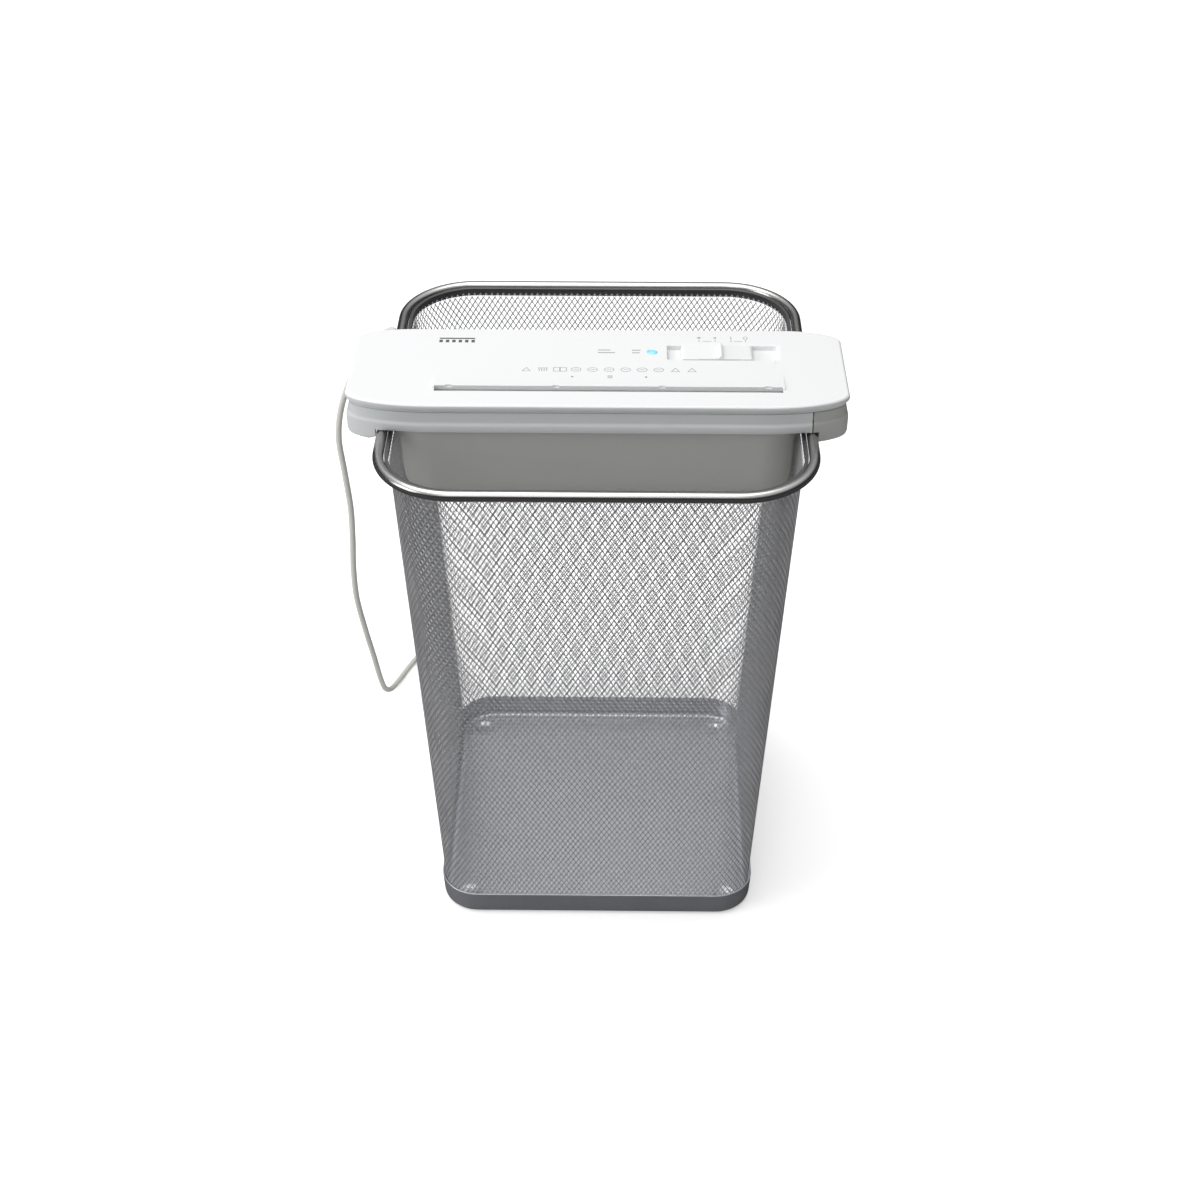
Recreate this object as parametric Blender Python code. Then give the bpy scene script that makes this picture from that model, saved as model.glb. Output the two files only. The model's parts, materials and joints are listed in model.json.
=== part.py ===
"""Paper shredder on a square wire-mesh basket, built as separate named pieces.

The frame is metres, +Z up, with the width along X and the front towards -Y.  The origin is
at the bottom centre of the basket and head together.  Lengths in this file are written in
millimetres and turned into metres by `MM` as each mesh is made.
"""

import math

import bpy
import bmesh
from mathutils import Matrix, Vector

MM = 0.001
GAP = 0.3                    # air gap kept between neighbouring pieces

# ---- driving dimensions, in millimetres -------------------------------------------------
# basket
RIM_W = 271.4                # rim tube centreline, side to side (the basket is square)
RIM_R = 48.2                 # rim corner radius on the centreline
RIM_Z = 379.2                # height of the rim centreline
RIM_TUBE_R = 3.5
BASE_W = 223.9               # outside of the base pan
BASE_R = 26.0
BASE_H = 19.6
PAN_T = 1.0
WALL_T = 0.8
WALL_TOP_INSET = 6.45        # rim centreline to the outside of the mesh at the top
FOOT_R = 7.0
FOOT_POS = 93.0              # pressed feet, from the basket's centre lines

# head
HEAD_HX = 159.0              # half width
HEAD_Y0, HEAD_Y1 = -70.5, 29.0
TOP_Z = 403.3
COVER_H = 3.3
HOUSING_TOP = 396.8
SKIRT_Z = 382.9              # underside of the skirt over the rim
WING_Z = 375.0               # underside of the two ends, outside the rim
CHANNEL_X, CHANNEL_Z = 139.7, 383.1   # outer wall and roof of the channels that sit on the rim
TUB_HX = 126.0
TUB_Y0, TUB_Y1 = -66.5, 25.0
TUB_Z = 332.0
WALL = 2.0

# paper slot and throat
SLOT_X0, SLOT_W = -102.8, 220.0
SLOT_Y0, SLOT_Y1 = -52.2, -47.2
THROAT_Z = 371.0

# cutting block
FRONT_Y, REAR_Y, SHAFT_Z = -48.0, -28.0, 357.0
DISC_R, HUB_R, SHAFT_R = 12.0, 6.0, 3.6
DISC_T, DISC_PITCH, DISC_COUNT = 5.5, 12.0, 18
PLATE_L = (-105.0, -103.4)
PLATE_R = (117.6, 119.2)
PLATE_G = (-122.6, -121.2)

# gear train (module 1.25)
MODULE = 1.25
N_SHAFT, N_DRIVE, N_PINION, N_WHEEL, N_MOTOR = 16, 26, 8, 28, 8
LAYER_A, LAYER_B, LAYER_C = (-110.0, -106.0), (-115.5, -111.5), (-120.5, -116.5)
MOTOR_Y, MOTOR_Z, MOTOR_R = 5.0, 353.0, 16.5

# extension arm
ARM_X = 136.0
ROD_R, ROD_Z, ROD_X1, ROD_Y = 2.2, 390.5, 141.7, (-61.0, 19.0)

# slide switch, lamp, sensing lever
POCKET = (45.2, 116.9, -11.2, 7.6)
KNOB = (53.9, 100.3, -10.5, 6.9)
LAMP = (35.4, -1.0)
LAMP_R = 3.0
LEVER = (7.0, -31.0, 388.0)

# mains lead
CORD_R = 2.2
HANK_C, HANK_TURN = (-136.6, 160.0), 9.1   # middle of the tied hank, and its turn from +Y
HANK_R, HANK_RUN, HANK_WAIST, HANK_H = 13.7, 50.0, 6.6, 22.3
PLUG_HU, PLUG_HZ = 17.0, 6.8
PLUG_Z = PLUG_HZ + 0.25
GLAND = (-138.0, 388.0)

COLOURS = {
    "white": ((0.86, 0.86, 0.86), 0.42, 0.0),
    "grey": ((0.52, 0.53, 0.54), 0.45, 0.0),
    "dark": ((0.10, 0.10, 0.11), 0.50, 0.0),
    "steel": ((0.55, 0.55, 0.56), 0.30, 1.0),
    "paint": ((0.33, 0.34, 0.37), 0.38, 1.0),
    "brass": ((0.70, 0.55, 0.25), 0.30, 1.0),
    "board": ((0.05, 0.22, 0.10), 0.50, 0.0),
    "blue": ((0.10, 0.45, 0.85), 0.20, 0.0),
    "nylon": ((0.80, 0.78, 0.70), 0.50, 0.0),
    "cord": ((0.62, 0.62, 0.60), 0.55, 0.0),
}


# ---- helpers ------------------------------------------------------------------------------
def material_for(name, key):
    """Return a Principled material named after the piece."""
    colour, rough, metal = COLOURS[key]
    mat = bpy.data.materials.new(name)
    mat.use_nodes = True
    bsdf = mat.node_tree.nodes["Principled BSDF"]
    bsdf.inputs["Base Color"].default_value = (*colour, 1.0)
    bsdf.inputs["Roughness"].default_value = rough
    bsdf.inputs["Metallic"].default_value = metal
    mat.diffuse_color = (*colour, 1.0)
    return mat


def add_object(name, bm, key, origin=(0.0, 0.0, 0.0)):
    """Make an object from a bmesh in millimetres, with its origin on the given point."""
    bmesh.ops.remove_doubles(bm, verts=bm.verts, dist=1e-4)
    bmesh.ops.recalc_face_normals(bm, faces=bm.faces)
    if bm.calc_volume(signed=True) < 0.0:
        bmesh.ops.reverse_faces(bm, faces=bm.faces)
    shift = Matrix.Translation(-Vector(origin))
    bm.transform(Matrix.Scale(MM, 4) @ shift)
    mesh = bpy.data.meshes.new(name)
    bm.to_mesh(mesh)
    bm.free()
    mesh.shade_smooth()
    mesh.set_sharp_from_angle(angle=math.radians(32.0))
    obj = bpy.data.objects.new(name, mesh)
    obj.location = Vector(origin) * MM
    bpy.context.collection.objects.link(obj)
    obj.data.materials.append(material_for(name, key))
    return obj


def loft_bmesh(rings, closed=False, caps=(True, True)):
    """Skin rings with equal point counts; `closed` joins the last ring to the first."""
    bm = bmesh.new()
    rows = [[bm.verts.new(p) for p in ring] for ring in rings]
    count = len(rings[0])
    spans = len(rows) if closed else len(rows) - 1
    for k in range(spans):
        a, b = rows[k], rows[(k + 1) % len(rows)]
        for i in range(count):
            j = (i + 1) % count
            bm.faces.new((a[i], a[j], b[j], b[i]))
    if not closed:
        if caps[0]:
            bm.faces.new(rows[0])
        if caps[1]:
            bm.faces.new(rows[-1])
    return bm


def loft(name, rings, key, closed=False, origin=(0.0, 0.0, 0.0)):
    """A solid skinned through rings, as an object."""
    return add_object(name, loft_bmesh(rings, closed), key, origin)


def outline(x0, x1, y0, y1, front, back, z, seg=8):
    """Plan outline with elliptical corners; front and back are (x radius, y radius)."""
    corners = (
        (x1 - front[0], y0 + front[1], front, -90.0),
        (x1 - back[0], y1 - back[1], back, 0.0),
        (x0 + back[0], y1 - back[1], back, 90.0),
        (x0 + front[0], y0 + front[1], front, 180.0),
    )
    pts = []
    for cx, cy, (ax, ay), start in corners:
        for k in range(seg + 1):
            a = math.radians(start + 90.0 * k / seg)
            px, py = cx + ax * math.cos(a), cy + ay * math.sin(a)
            pts.append((px, py, z(px) if callable(z) else z))
    return pts


def square(width, radius, z, seg=8):
    """Rounded square centred on the origin."""
    h = width / 2.0
    return outline(-h, h, -h, h, (radius, radius), (radius, radius), z, seg)


def box_bmesh(x0, x1, y0, y1, z0, z1):
    """Axis-aligned block."""
    ring = ((x0, y0), (x1, y0), (x1, y1), (x0, y1))
    return loft_bmesh([[(x, y, z0) for x, y in ring], [(x, y, z1) for x, y in ring]])


def block(name, x0, x1, y0, y1, z0, z1, key, chamfer=0.0):
    """A block, with its edges bevelled when a chamfer is given."""
    bm = box_bmesh(x0, x1, y0, y1, z0, z1)
    if chamfer:
        bmesh.ops.bevel(bm, geom=bm.edges[:], offset=chamfer, segments=2, profile=0.5,
                        affect="EDGES", clamp_overlap=True)
    return add_object(name, bm, key)


def turned_bmesh(profile, centre, axis="X", seg=16):
    """Turn (station, radius) points about a line along the axis through the centre."""
    bm = bmesh.new()
    cx, cy, cz = centre

    def place(s, r, a):
        c, d = r * math.cos(a), r * math.sin(a)
        if axis == "X":
            return (s, cy + c, cz + d)
        if axis == "Y":
            return (cx + c, s, cz + d)
        return (cx + c, cy + d, s)

    rows = []
    for s, r in profile:
        if r <= 1e-6:
            rows.append([bm.verts.new(place(s, 0.0, 0.0))])
        else:
            rows.append([bm.verts.new(place(s, r, math.tau * k / seg)) for k in range(seg)])
    closed = len(rows[0]) > 1
    pairs = list(zip(rows, rows[1:])) + ([(rows[-1], rows[0])] if closed else [])
    for a, b in pairs:
        for i in range(seg):
            j = (i + 1) % seg
            if len(a) == 1 and len(b) == 1:
                continue
            if len(a) == 1:
                bm.faces.new((a[0], b[j], b[i]))
            elif len(b) == 1:
                bm.faces.new((a[i], a[j], b[0]))
            else:
                bm.faces.new((a[i], a[j], b[j], b[i]))
    return bm


def turned(name, profile, centre, key, axis="X", seg=16, origin=(0.0, 0.0, 0.0)):
    """A turned solid: a profile that starts on the axis ends on it, any other is a ring."""
    return add_object(name, turned_bmesh(profile, centre, axis, seg), key, origin)


def rod_profile(s0, s1, r):
    """Plain rod."""
    return [(s0, 0.0), (s0, r), (s1, r), (s1, 0.0)]


def prism_bmesh(points, lo, hi, axis="X"):
    """Extrude a flat outline along an axis; points are the other two coordinates in order."""
    def place(a, b, s):
        return {"X": (s, a, b), "Y": (a, s, b), "Z": (a, b, s)}[axis]
    return loft_bmesh([[place(a, b, lo) for a, b in points], [place(a, b, hi) for a, b in points]])


def boolean(obj, cutters, operation="DIFFERENCE"):
    """Apply exact Booleans with temporary bodies, given as bmeshes in millimetres."""
    flat = bmesh.new()
    flat.from_mesh(obj.data)
    bmesh.ops.triangulate(flat, faces=flat.faces)
    flat.to_mesh(obj.data)
    flat.free()
    for bm in cutters:
        bmesh.ops.recalc_face_normals(bm, faces=bm.faces)
        if bm.calc_volume(signed=True) < 0.0:
            bmesh.ops.reverse_faces(bm, faces=bm.faces)
        bm.transform(Matrix.Scale(MM, 4))
        mesh = bpy.data.meshes.new("tool")
        bm.to_mesh(mesh)
        bm.free()
        tool = bpy.data.objects.new("tool", mesh)
        bpy.context.collection.objects.link(tool)
        mod = obj.modifiers.new("cut", "BOOLEAN")
        mod.operation, mod.solver, mod.object = operation, "EXACT", tool
        bpy.context.view_layer.update()
        graph = bpy.context.evaluated_depsgraph_get()
        result = bpy.data.meshes.new_from_object(obj.evaluated_get(graph))
        result.name = obj.name
        obj.modifiers.clear()
        old, obj.data = obj.data, result
        bpy.data.meshes.remove(old)
        bpy.data.objects.remove(tool)
        bpy.data.meshes.remove(mesh)
    obj.data.shade_smooth()
    obj.data.set_sharp_from_angle(angle=math.radians(32.0))
    return obj


def x_hole(y, z, r, x0, x1, seg=16):
    """Cutter for a round hole along X."""
    return turned_bmesh(rod_profile(x0, x1, r), (0.0, y, z), "X", seg)


def z_hole(x, y, r, z0, z1, seg=12):
    """Cutter for a round hole along Z."""
    return turned_bmesh(rod_profile(z0, z1, r), (x, y, 0.0), "Z", seg)


# ---- basket -------------------------------------------------------------------------------
def basket():
    """Pressed base pan, mesh wall, rim tube and the strip that holds the mesh to the rim."""
    top_w = BASE_W + 1.5
    outer = [square(BASE_W - 5.0, BASE_R - 2.5, 1.5), square(BASE_W - 1.4, BASE_R - 0.7, 2.6),
             square(BASE_W, BASE_R, 5.0), square(top_w, BASE_R + 0.7, BASE_H)]
    inner = [square(top_w - 2 * PAN_T, BASE_R - 0.3, BASE_H),
             square(BASE_W - 2 * PAN_T, BASE_R - 1.0, 5.0), square(BASE_W - 7.0, BASE_R - 3.5, 2.5)]
    pan = loft("base_pan", outer + inner, "paint")
    feet, dimples = [], []
    for sx in (-1, 1):
        for sy in (-1, 1):
            at = (sx * FOOT_POS, sy * FOOT_POS, 0.0)
            feet.append(turned_bmesh([(0.0, 0.0), (0.0, 4.6), (0.5, 6.3), (2.0, FOOT_R + 0.6),
                                      (2.0, 0.0)], at, "Z", 14))
            dimples.append(turned_bmesh([(1.0, 0.0), (1.0, 4.0), (1.4, 5.6), (3.2, FOOT_R),
                                         (3.2, 0.0)], at, "Z", 14))
    boolean(pan, feet, "UNION")
    boolean(pan, dimples)

    w_top = RIM_W - 2.0 * WALL_TOP_INSET
    w_low = BASE_W - 2.0 * PAN_T - 2.0 * GAP - 1.2
    z_top, z_low = RIM_Z - 2.2, 6.0
    r_top, r_low = RIM_R - WALL_TOP_INSET, BASE_R - 2.2
    loft("mesh_wall", [
        square(w_low, r_low, z_low), square(w_top, r_top, z_top),
        square(w_top - 2 * WALL_T, r_top - WALL_T, z_top),
        square(w_low - 2 * WALL_T, r_low - WALL_T, z_low)], "steel", closed=True)

    def tube_ring(angle):
        off, dz = RIM_TUBE_R * math.cos(angle), RIM_TUBE_R * math.sin(angle)
        return square(RIM_W + 2.0 * off, RIM_R + off, RIM_Z + dz, 8)
    loft("rim_tube", [tube_ring(math.tau * k / 8) for k in range(8)], "steel", closed=True)

    w_in, w_out = w_top + 2.0 * GAP + 0.1, RIM_W - 2.0 * RIM_TUBE_R - 0.7
    loft("rim_band", [
        square(w_out, RIM_R - 3.9, 373.5), square(w_out, RIM_R - 3.9, 381.0),
        square(w_in, RIM_R - 6.1, 381.0), square(w_in, RIM_R - 6.1, 373.5)], "steel", closed=True)


# ---- head housings ------------------------------------------------------------------------
FRONT_ARC, BACK_ARC = (55.0, 18.0), (38.0, 14.0)
TUB_FRONT_ARC, TUB_BACK_ARC = (22.0, 18.0), (16.0, 14.0)


def head_ring(inset, z):
    """Outline of the head, drawn in by an inset."""
    return outline(-HEAD_HX + inset, HEAD_HX - inset, HEAD_Y0 + inset, HEAD_Y1 - inset,
                   (FRONT_ARC[0] - inset, FRONT_ARC[1] - inset),
                   (BACK_ARC[0] - inset, BACK_ARC[1] - inset), z)


def tub_ring(inset, z, flare=0.0):
    """Outline of the tub that hangs into the basket; a flare widens its two ends only."""
    ix = inset - flare
    return outline(-TUB_HX + ix, TUB_HX - ix, TUB_Y0 + inset, TUB_Y1 - inset,
                   (TUB_FRONT_ARC[0] - inset, TUB_FRONT_ARC[1] - inset),
                   (TUB_BACK_ARC[0] - inset, TUB_BACK_ARC[1] - inset), z)


def underside(drop=0.0):
    """Height of the skirt's lower edge: level over the rim, lower outside it."""
    def height(x):
        t = min(max((abs(x) - 118.0) / 22.0, 0.0), 1.0)
        return SKIRT_Z + (WING_Z - SKIRT_Z) * t * t * (3.0 - 2.0 * t) + drop
    return height


def lower_housing():
    """Skirt and tub in one moulding, with the arm's bay cut from its right end."""
    outer = [head_ring(1.2, HOUSING_TOP), head_ring(0.5, 395.5), head_ring(0.5, 388.6),
             head_ring(0.0, 388.0), head_ring(0.0, 386.0),
             head_ring(0.4, underside(1.4)), head_ring(1.6, underside(0.0)),
             tub_ring(-0.4, underside(0.0), 3.4), tub_ring(-0.2, underside(-2.4), 1.4),
             tub_ring(0.0, 369.5), tub_ring(0.8, 345.0), tub_ring(3.0, 336.5),
             tub_ring(8.0, TUB_Z)]
    body = loft("lower_housing", outer, "grey")
    arc = (FRONT_ARC[0] - 3.2, FRONT_ARC[1] - 3.2)
    x1 = ARM_X - 0.4 - WALL
    cavity = [outline(-HEAD_HX + 3.2, x1, HEAD_Y0 + 3.2, HEAD_Y1 - 3.2, arc, (20.0, 11.0), z)
              for z in (400.0, 386.2)]
    tub = [tub_ring(WALL, 386.2), tub_ring(WALL + 0.8, 345.0), tub_ring(WALL + 2.6, 337.8),
           tub_ring(WALL + 7.0, TUB_Z + WALL)]
    hollow = loft_bmesh(cavity + tub)
    pockets = [box_bmesh(ARM_X - 0.4, 170.0, -90.0, 50.0, 360.0, 410.0)]
    for sx in (-1, 1):
        pockets.append(box_bmesh(*sorted((sx * 129.0, sx * CHANNEL_X)), -90.0, 50.0, 360.0, CHANNEL_Z))
    pockets.append(box_bmesh(-100.0, 114.0, -53.0, -23.0, 325.0, 350.0))
    pockets.append(box_bmesh(90.0, x1, -64.2, 23.0, 386.6, 399.0))
    for y in ROD_Y:
        pockets.append(x_hole(y, ROD_Z, ROD_R + GAP, 130.0, 140.0))
    pockets.append(turned_bmesh(rod_profile(20.0, 40.0, 4.2), (GLAND[0], 0.0, GLAND[1]), "Y"))
    for x, y in SCREWS:
        pockets.append(z_hole(x, y, 1.8, 330.0, 336.0))
    boolean(body, [hollow] + pockets)
    return body


def top_cover():
    """Flat lid with the paper slot, the raised lip behind it and the switch's pocket."""
    rings = [head_ring(3.6, TOP_Z - 2.0), head_ring(3.6, 397.1), head_ring(1.5, 397.1),
             head_ring(1.5, 399.8), head_ring(0.0, 400.0), head_ring(0.0, 402.1),
             head_ring(0.4, 402.9), head_ring(1.4, TOP_Z)]
    cover = loft("top_cover", rings, "white")
    x0, x1 = SLOT_X0, SLOT_X0 + SLOT_W
    lip = prism_bmesh([(-27.0, TOP_Z - 0.8), (-27.0, TOP_Z), (-46.6, TOP_Z + 1.0),
                       (-49.0, TOP_Z + 0.9), (-49.0, TOP_Z - 0.8)], x0 - 1.2, x1 + 1.2)
    tray = box_bmesh(POCKET[0] - 1.6, POCKET[1] + 1.6, POCKET[2] - 1.6, POCKET[3] + 1.6,
                     398.3, TOP_Z - 1.0)
    boolean(cover, [lip, tray], "UNION")
    cuts = [box_bmesh(x0, x1, SLOT_Y0, SLOT_Y1, 390.0, 410.0),
            box_bmesh(POCKET[0], POCKET[1], POCKET[2], POCKET[3], 399.8, 410.0),
            box_bmesh(66.3, 95.7, -4.4, 1.4, 390.0, 401.0),
            z_hole(LAMP[0], LAMP[1], LAMP_R + GAP, 390.0, 410.0, 24)]
    for x in (-94.0, -26.0, 41.0, 108.0):
        cuts.append(box_bmesh(x - 1.8, x + 1.8, -48.0, -46.1, 403.1, 406.0))
    boolean(cover, cuts)
    return cover


def extension_arm():
    """Right end of the head, which pulls out on two rods."""
    outer = [head_ring(1.2, HOUSING_TOP), head_ring(0.5, 395.5), head_ring(0.5, 388.6),
             head_ring(0.0, 388.0), head_ring(0.0, 386.0), head_ring(0.4, WING_Z + 1.4),
             head_ring(1.6, WING_Z)]
    arm = loft("extension_arm", outer, "grey")
    boolean(arm, [box_bmesh(-170.0, ARM_X, -90.0, 50.0, 360.0, 410.0),
                  box_bmesh(130.0, CHANNEL_X, -90.0, 50.0, 360.0, CHANNEL_Z),
                  box_bmesh(130.0, ROD_X1 + GAP, -63.6, 23.6, 385.2, 394.4)])
    for label, y in zip(("front", "rear"), ROD_Y):
        turned("arm_rod_" + label, [(60.0, 0.0), (60.0, ROD_R - 0.5), (60.6, ROD_R),
                                    (ROD_X1, ROD_R), (ROD_X1, 0.0)], (0.0, y, ROD_Z), "steel")


# ---- cutting block ------------------------------------------------------------------------
SCREWS = ((-112.0, -44.0), (-112.0, 6.0), (0.0, 10.0), (108.0, 8.0))


def cutter(name, y, start, left_end):
    """One shaft with its discs, turned in one piece."""
    prof = [(left_end, 0.0), (left_end, SHAFT_R), (-102.9, SHAFT_R), (-102.9, HUB_R)]
    for k in range(DISC_COUNT):
        x = start + k * DISC_PITCH
        prof += [(x, HUB_R), (x, DISC_R), (x + DISC_T, DISC_R), (x + DISC_T, HUB_R)]
    prof += [(117.1, HUB_R), (117.1, SHAFT_R), (121.0, SHAFT_R), (121.0, 0.0)]
    turned(name, prof, (0.0, y, SHAFT_Z), "steel", seg=12, origin=(0.0, y, SHAFT_Z))


def stripper(name, bar_y, tip_y, start, x1):
    """Comb whose fingers stand between the discs and clear the strips."""
    width = 5.0
    x0 = -102.6
    pts = [(x0, bar_y), (x1, bar_y)]
    sign = 1.0 if tip_y > bar_y else -1.0
    root = bar_y + sign * 2.4
    pts.append((x1, root))
    for k in reversed(range(DISC_COUNT - 1)):
        c = start + k * DISC_PITCH + DISC_T + (DISC_PITCH - DISC_T) / 2.0
        pts += [(c + width / 2, root), (c + width / 2, tip_y), (c - width / 2, tip_y),
                (c - width / 2, root)]
    pts.append((x0, root))
    add_object(name, prism_bmesh(pts, 355.6, 358.4, "Z"), "nylon")


def gear_outline(teeth, phase):
    """Straight-sided teeth with generous backlash, as (y, z) offsets."""
    pitch_r = MODULE * teeth / 2.0
    root, tip = pitch_r - 1.12 * MODULE, pitch_r + 0.8 * MODULE
    step = math.tau / teeth
    pts = []
    for k in range(teeth):
        a = phase + k * step
        for da, r in ((-0.235, root), (-0.105, tip), (0.105, tip), (0.235, root)):
            t = a + da * step
            pts.append((r * math.cos(t), r * math.sin(t)))
    return pts


def gear(name, teeth, phase, centre, layer, bore, key, origin):
    """Spur gear along X with a round bore."""
    pts = gear_outline(teeth, phase)
    y, z = centre
    ring = [(bore * math.cos(math.atan2(b, a)), bore * math.sin(math.atan2(b, a)))
            for a, b in pts]
    rows = [[(x, y + a, z + b) for a, b in src] for src, x in
            ((pts, layer[0]), (pts, layer[1]), (ring, layer[1]), (ring, layer[0]))]
    return loft(name, rows, key, closed=True, origin=origin)


def mesh_phase(teeth_a, phase_a, teeth_b, centre_a, centre_b):
    """Phase that puts a tooth gap of gear b on the tooth of gear a that faces it."""
    alpha = math.atan2(centre_b[1] - centre_a[1], centre_b[0] - centre_a[0])
    step_a, step_b = math.tau / teeth_a, math.tau / teeth_b
    lag = ((alpha - phase_a) / step_a) % 1.0
    return alpha + math.pi + lag * step_b + step_b / 2.0


def idler_centre():
    """Where the compound gear sits so that it meshes with both neighbours."""
    m, r = Vector((MOTOR_Y, MOTOR_Z)), Vector((REAR_Y, SHAFT_Z))
    a = MODULE * (N_WHEEL + N_MOTOR) / 2.0
    b = MODULE * (N_DRIVE + N_PINION) / 2.0
    d = (r - m).length
    t = (a * a - b * b + d * d) / (2.0 * d)
    h = math.sqrt(a * a - t * t)
    u = (r - m) / d
    side = Vector((-u.y, u.x)) if u.x > 0 else Vector((u.y, -u.x))
    return tuple(m + t * u + h * side)


def gear_train():
    """Two cutter gears, the drive gear, the compound idler and the motor's pinion."""
    front, rear, motor = (FRONT_Y, SHAFT_Z), (REAR_Y, SHAFT_Z), (MOTOR_Y, MOTOR_Z)
    idler = idler_centre()
    o_front, o_rear = (0.0, *front), (0.0, *rear)
    o_idler, o_motor = (0.0, *idler), (0.0, *motor)
    p_rear = 0.0
    gear("gear_rear", N_SHAFT, p_rear, rear, LAYER_A, SHAFT_R + GAP, "steel", o_rear)
    p_front = mesh_phase(N_SHAFT, p_rear, N_SHAFT, rear, front)
    gear("gear_front", N_SHAFT, p_front, front, LAYER_A, SHAFT_R + GAP, "steel", o_front)
    gear("gear_drive", N_DRIVE, 0.0, rear, LAYER_B, SHAFT_R + GAP, "steel", o_rear)
    p_pinion = mesh_phase(N_DRIVE, 0.0, N_PINION, rear, idler)
    gear("idler_pinion", N_PINION, p_pinion, idler, LAYER_B, 1.8, "steel", o_idler)
    gear("idler_wheel", N_WHEEL, 0.0, idler, LAYER_C, 1.8, "nylon", o_idler)
    p_motor = mesh_phase(N_WHEEL, 0.0, N_MOTOR, idler, motor)
    gear("motor_pinion", N_MOTOR, p_motor, motor, LAYER_C, 1.6 + GAP, "brass", o_motor)
    turned("motor_shaft", rod_profile(-121.2, -92.0, 1.6), (0.0, *motor), "steel",
           seg=12, origin=o_motor)
    turned("idler_axle", rod_profile(-123.5, -101.0, 1.4), (0.0, *idler), "steel", seg=12)


def plates():
    """Side plates, bushes, tie rods and the outer gear plate."""
    idler = idler_centre()
    rods = ((-19.0, 374.0), (-52.0, 376.0), (-19.0, 341.5))
    left = [(-56.0, 339.0), (14.0, 339.0), (20.0, 347.0), (20.0, 383.0), (-61.0, 383.0),
            (-61.0, 346.0)]
    right = [(-50.0, 339.0), (-14.0, 339.0), (-12.0, 342.0), (-12.0, 379.0), (-56.0, 383.0),
             (-56.0, 347.0)]
    outer = [(-32.0, 347.0), (8.0, 347.0), (13.0, 352.0), (13.0, 366.0), (2.0, 384.5),
             (-22.0, 384.5), (-32.0, 372.0)]
    l_plate = add_object("side_plate_left", prism_bmesh(left, *PLATE_L), "steel")
    holes = [x_hole(y, SHAFT_Z, 5.6, -110.0, -100.0) for y in (FRONT_Y, REAR_Y)]
    holes += [x_hole(*idler, 1.7, -110.0, -100.0, 12), x_hole(MOTOR_Y, MOTOR_Z, 4.0, -110.0, -100.0)]
    holes += [x_hole(y, z, 2.0, -110.0, -100.0, 12) for y, z in rods]
    holes += [x_hole(MOTOR_Y + s * 9.0, MOTOR_Z, 1.6, -110.0, -100.0, 10) for s in (-1, 1)]
    boolean(l_plate, holes)
    r_plate = add_object("side_plate_right", prism_bmesh(right, *PLATE_R), "steel")
    holes = [x_hole(y, SHAFT_Z, 5.6, 112.0, 124.0) for y in (FRONT_Y, REAR_Y)]
    holes += [x_hole(y, z, 2.0, 112.0, 124.0, 12) for y, z in rods]
    boolean(r_plate, holes)
    o_plate = add_object("gear_plate", prism_bmesh(outer, *PLATE_G), "steel")
    boolean(o_plate, [x_hole(*idler, 1.7, -130.0, -118.0, 12),
                      x_hole(MOTOR_Y, MOTOR_Z, 2.2, -130.0, -118.0, 12)])
    for side, x in (("left", PLATE_L), ("right", PLATE_R)):
        for label, y in (("front", FRONT_Y), ("rear", REAR_Y)):
            turned("bush_%s_%s" % (side, label),
                   [(x[0], SHAFT_R + GAP), (x[0], 5.3), (x[1], 5.3), (x[1], SHAFT_R + GAP)],
                   (0.0, y, SHAFT_Z), "brass")
    for label, (y, z) in zip(("upper_rear", "upper_front", "lower_rear"), rods):
        turned("tie_rod_" + label, [(-105.6, 0.0), (-105.6, 1.7), (119.5, 1.7), (119.5, 2.6),
                                    (121.2, 2.6), (121.2, 0.0)], (0.0, y, z), "steel", seg=12)


def throat():
    """Two slanted guide plates that lead the paper from the slot to the cutters."""
    top, low = 400.8, THROAT_Z
    front = [(-53.9, top), (-52.4, top), (-40.8, low), (-42.3, low)]
    rear = [(-47.0, top), (-45.5, top), (-35.1, low), (-36.6, low)]
    add_object("guide_front", prism_bmesh(front, -102.8, 117.0), "white")
    guide = add_object("guide_rear", prism_bmesh(rear, -102.8, 117.0), "white")
    boolean(guide, [box_bmesh(LEVER[0] - 3.0, LEVER[0] + 3.0, -50.0, -33.0, 373.0, 391.0)])


# ---- motor, electrics, controls ------------------------------------------------------------
def motor():
    """Motor can with its end cap and two fixing screws."""
    at = (0.0, MOTOR_Y, MOTOR_Z)
    turned("motor_can", [(-90.0, 0.0), (-90.0, 2.4), (-98.0, 2.4), (-98.0, MOTOR_R - 1.0),
                         (-97.0, MOTOR_R), (-44.0, MOTOR_R), (-44.0, 0.0)], at, "steel", seg=24)
    turned("motor_end_cap", [(-43.7, 0.0), (-43.7, MOTOR_R), (-36.0, MOTOR_R), (-33.0, 9.0),
                             (-31.0, 5.0), (-31.0, 0.0)], at, "dark", seg=24)
    for label, s in (("front", -1), ("rear", 1)):
        turned("motor_screw_" + label, [(-107.0, 0.0), (-107.0, 2.2), (-105.7, 2.6),
                                        (-105.3, 2.6), (-105.3, 1.3), (-98.3, 1.3), (-98.3, 0.0)],
               (0.0, MOTOR_Y + s * 9.0, MOTOR_Z), "steel", seg=10)


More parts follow.
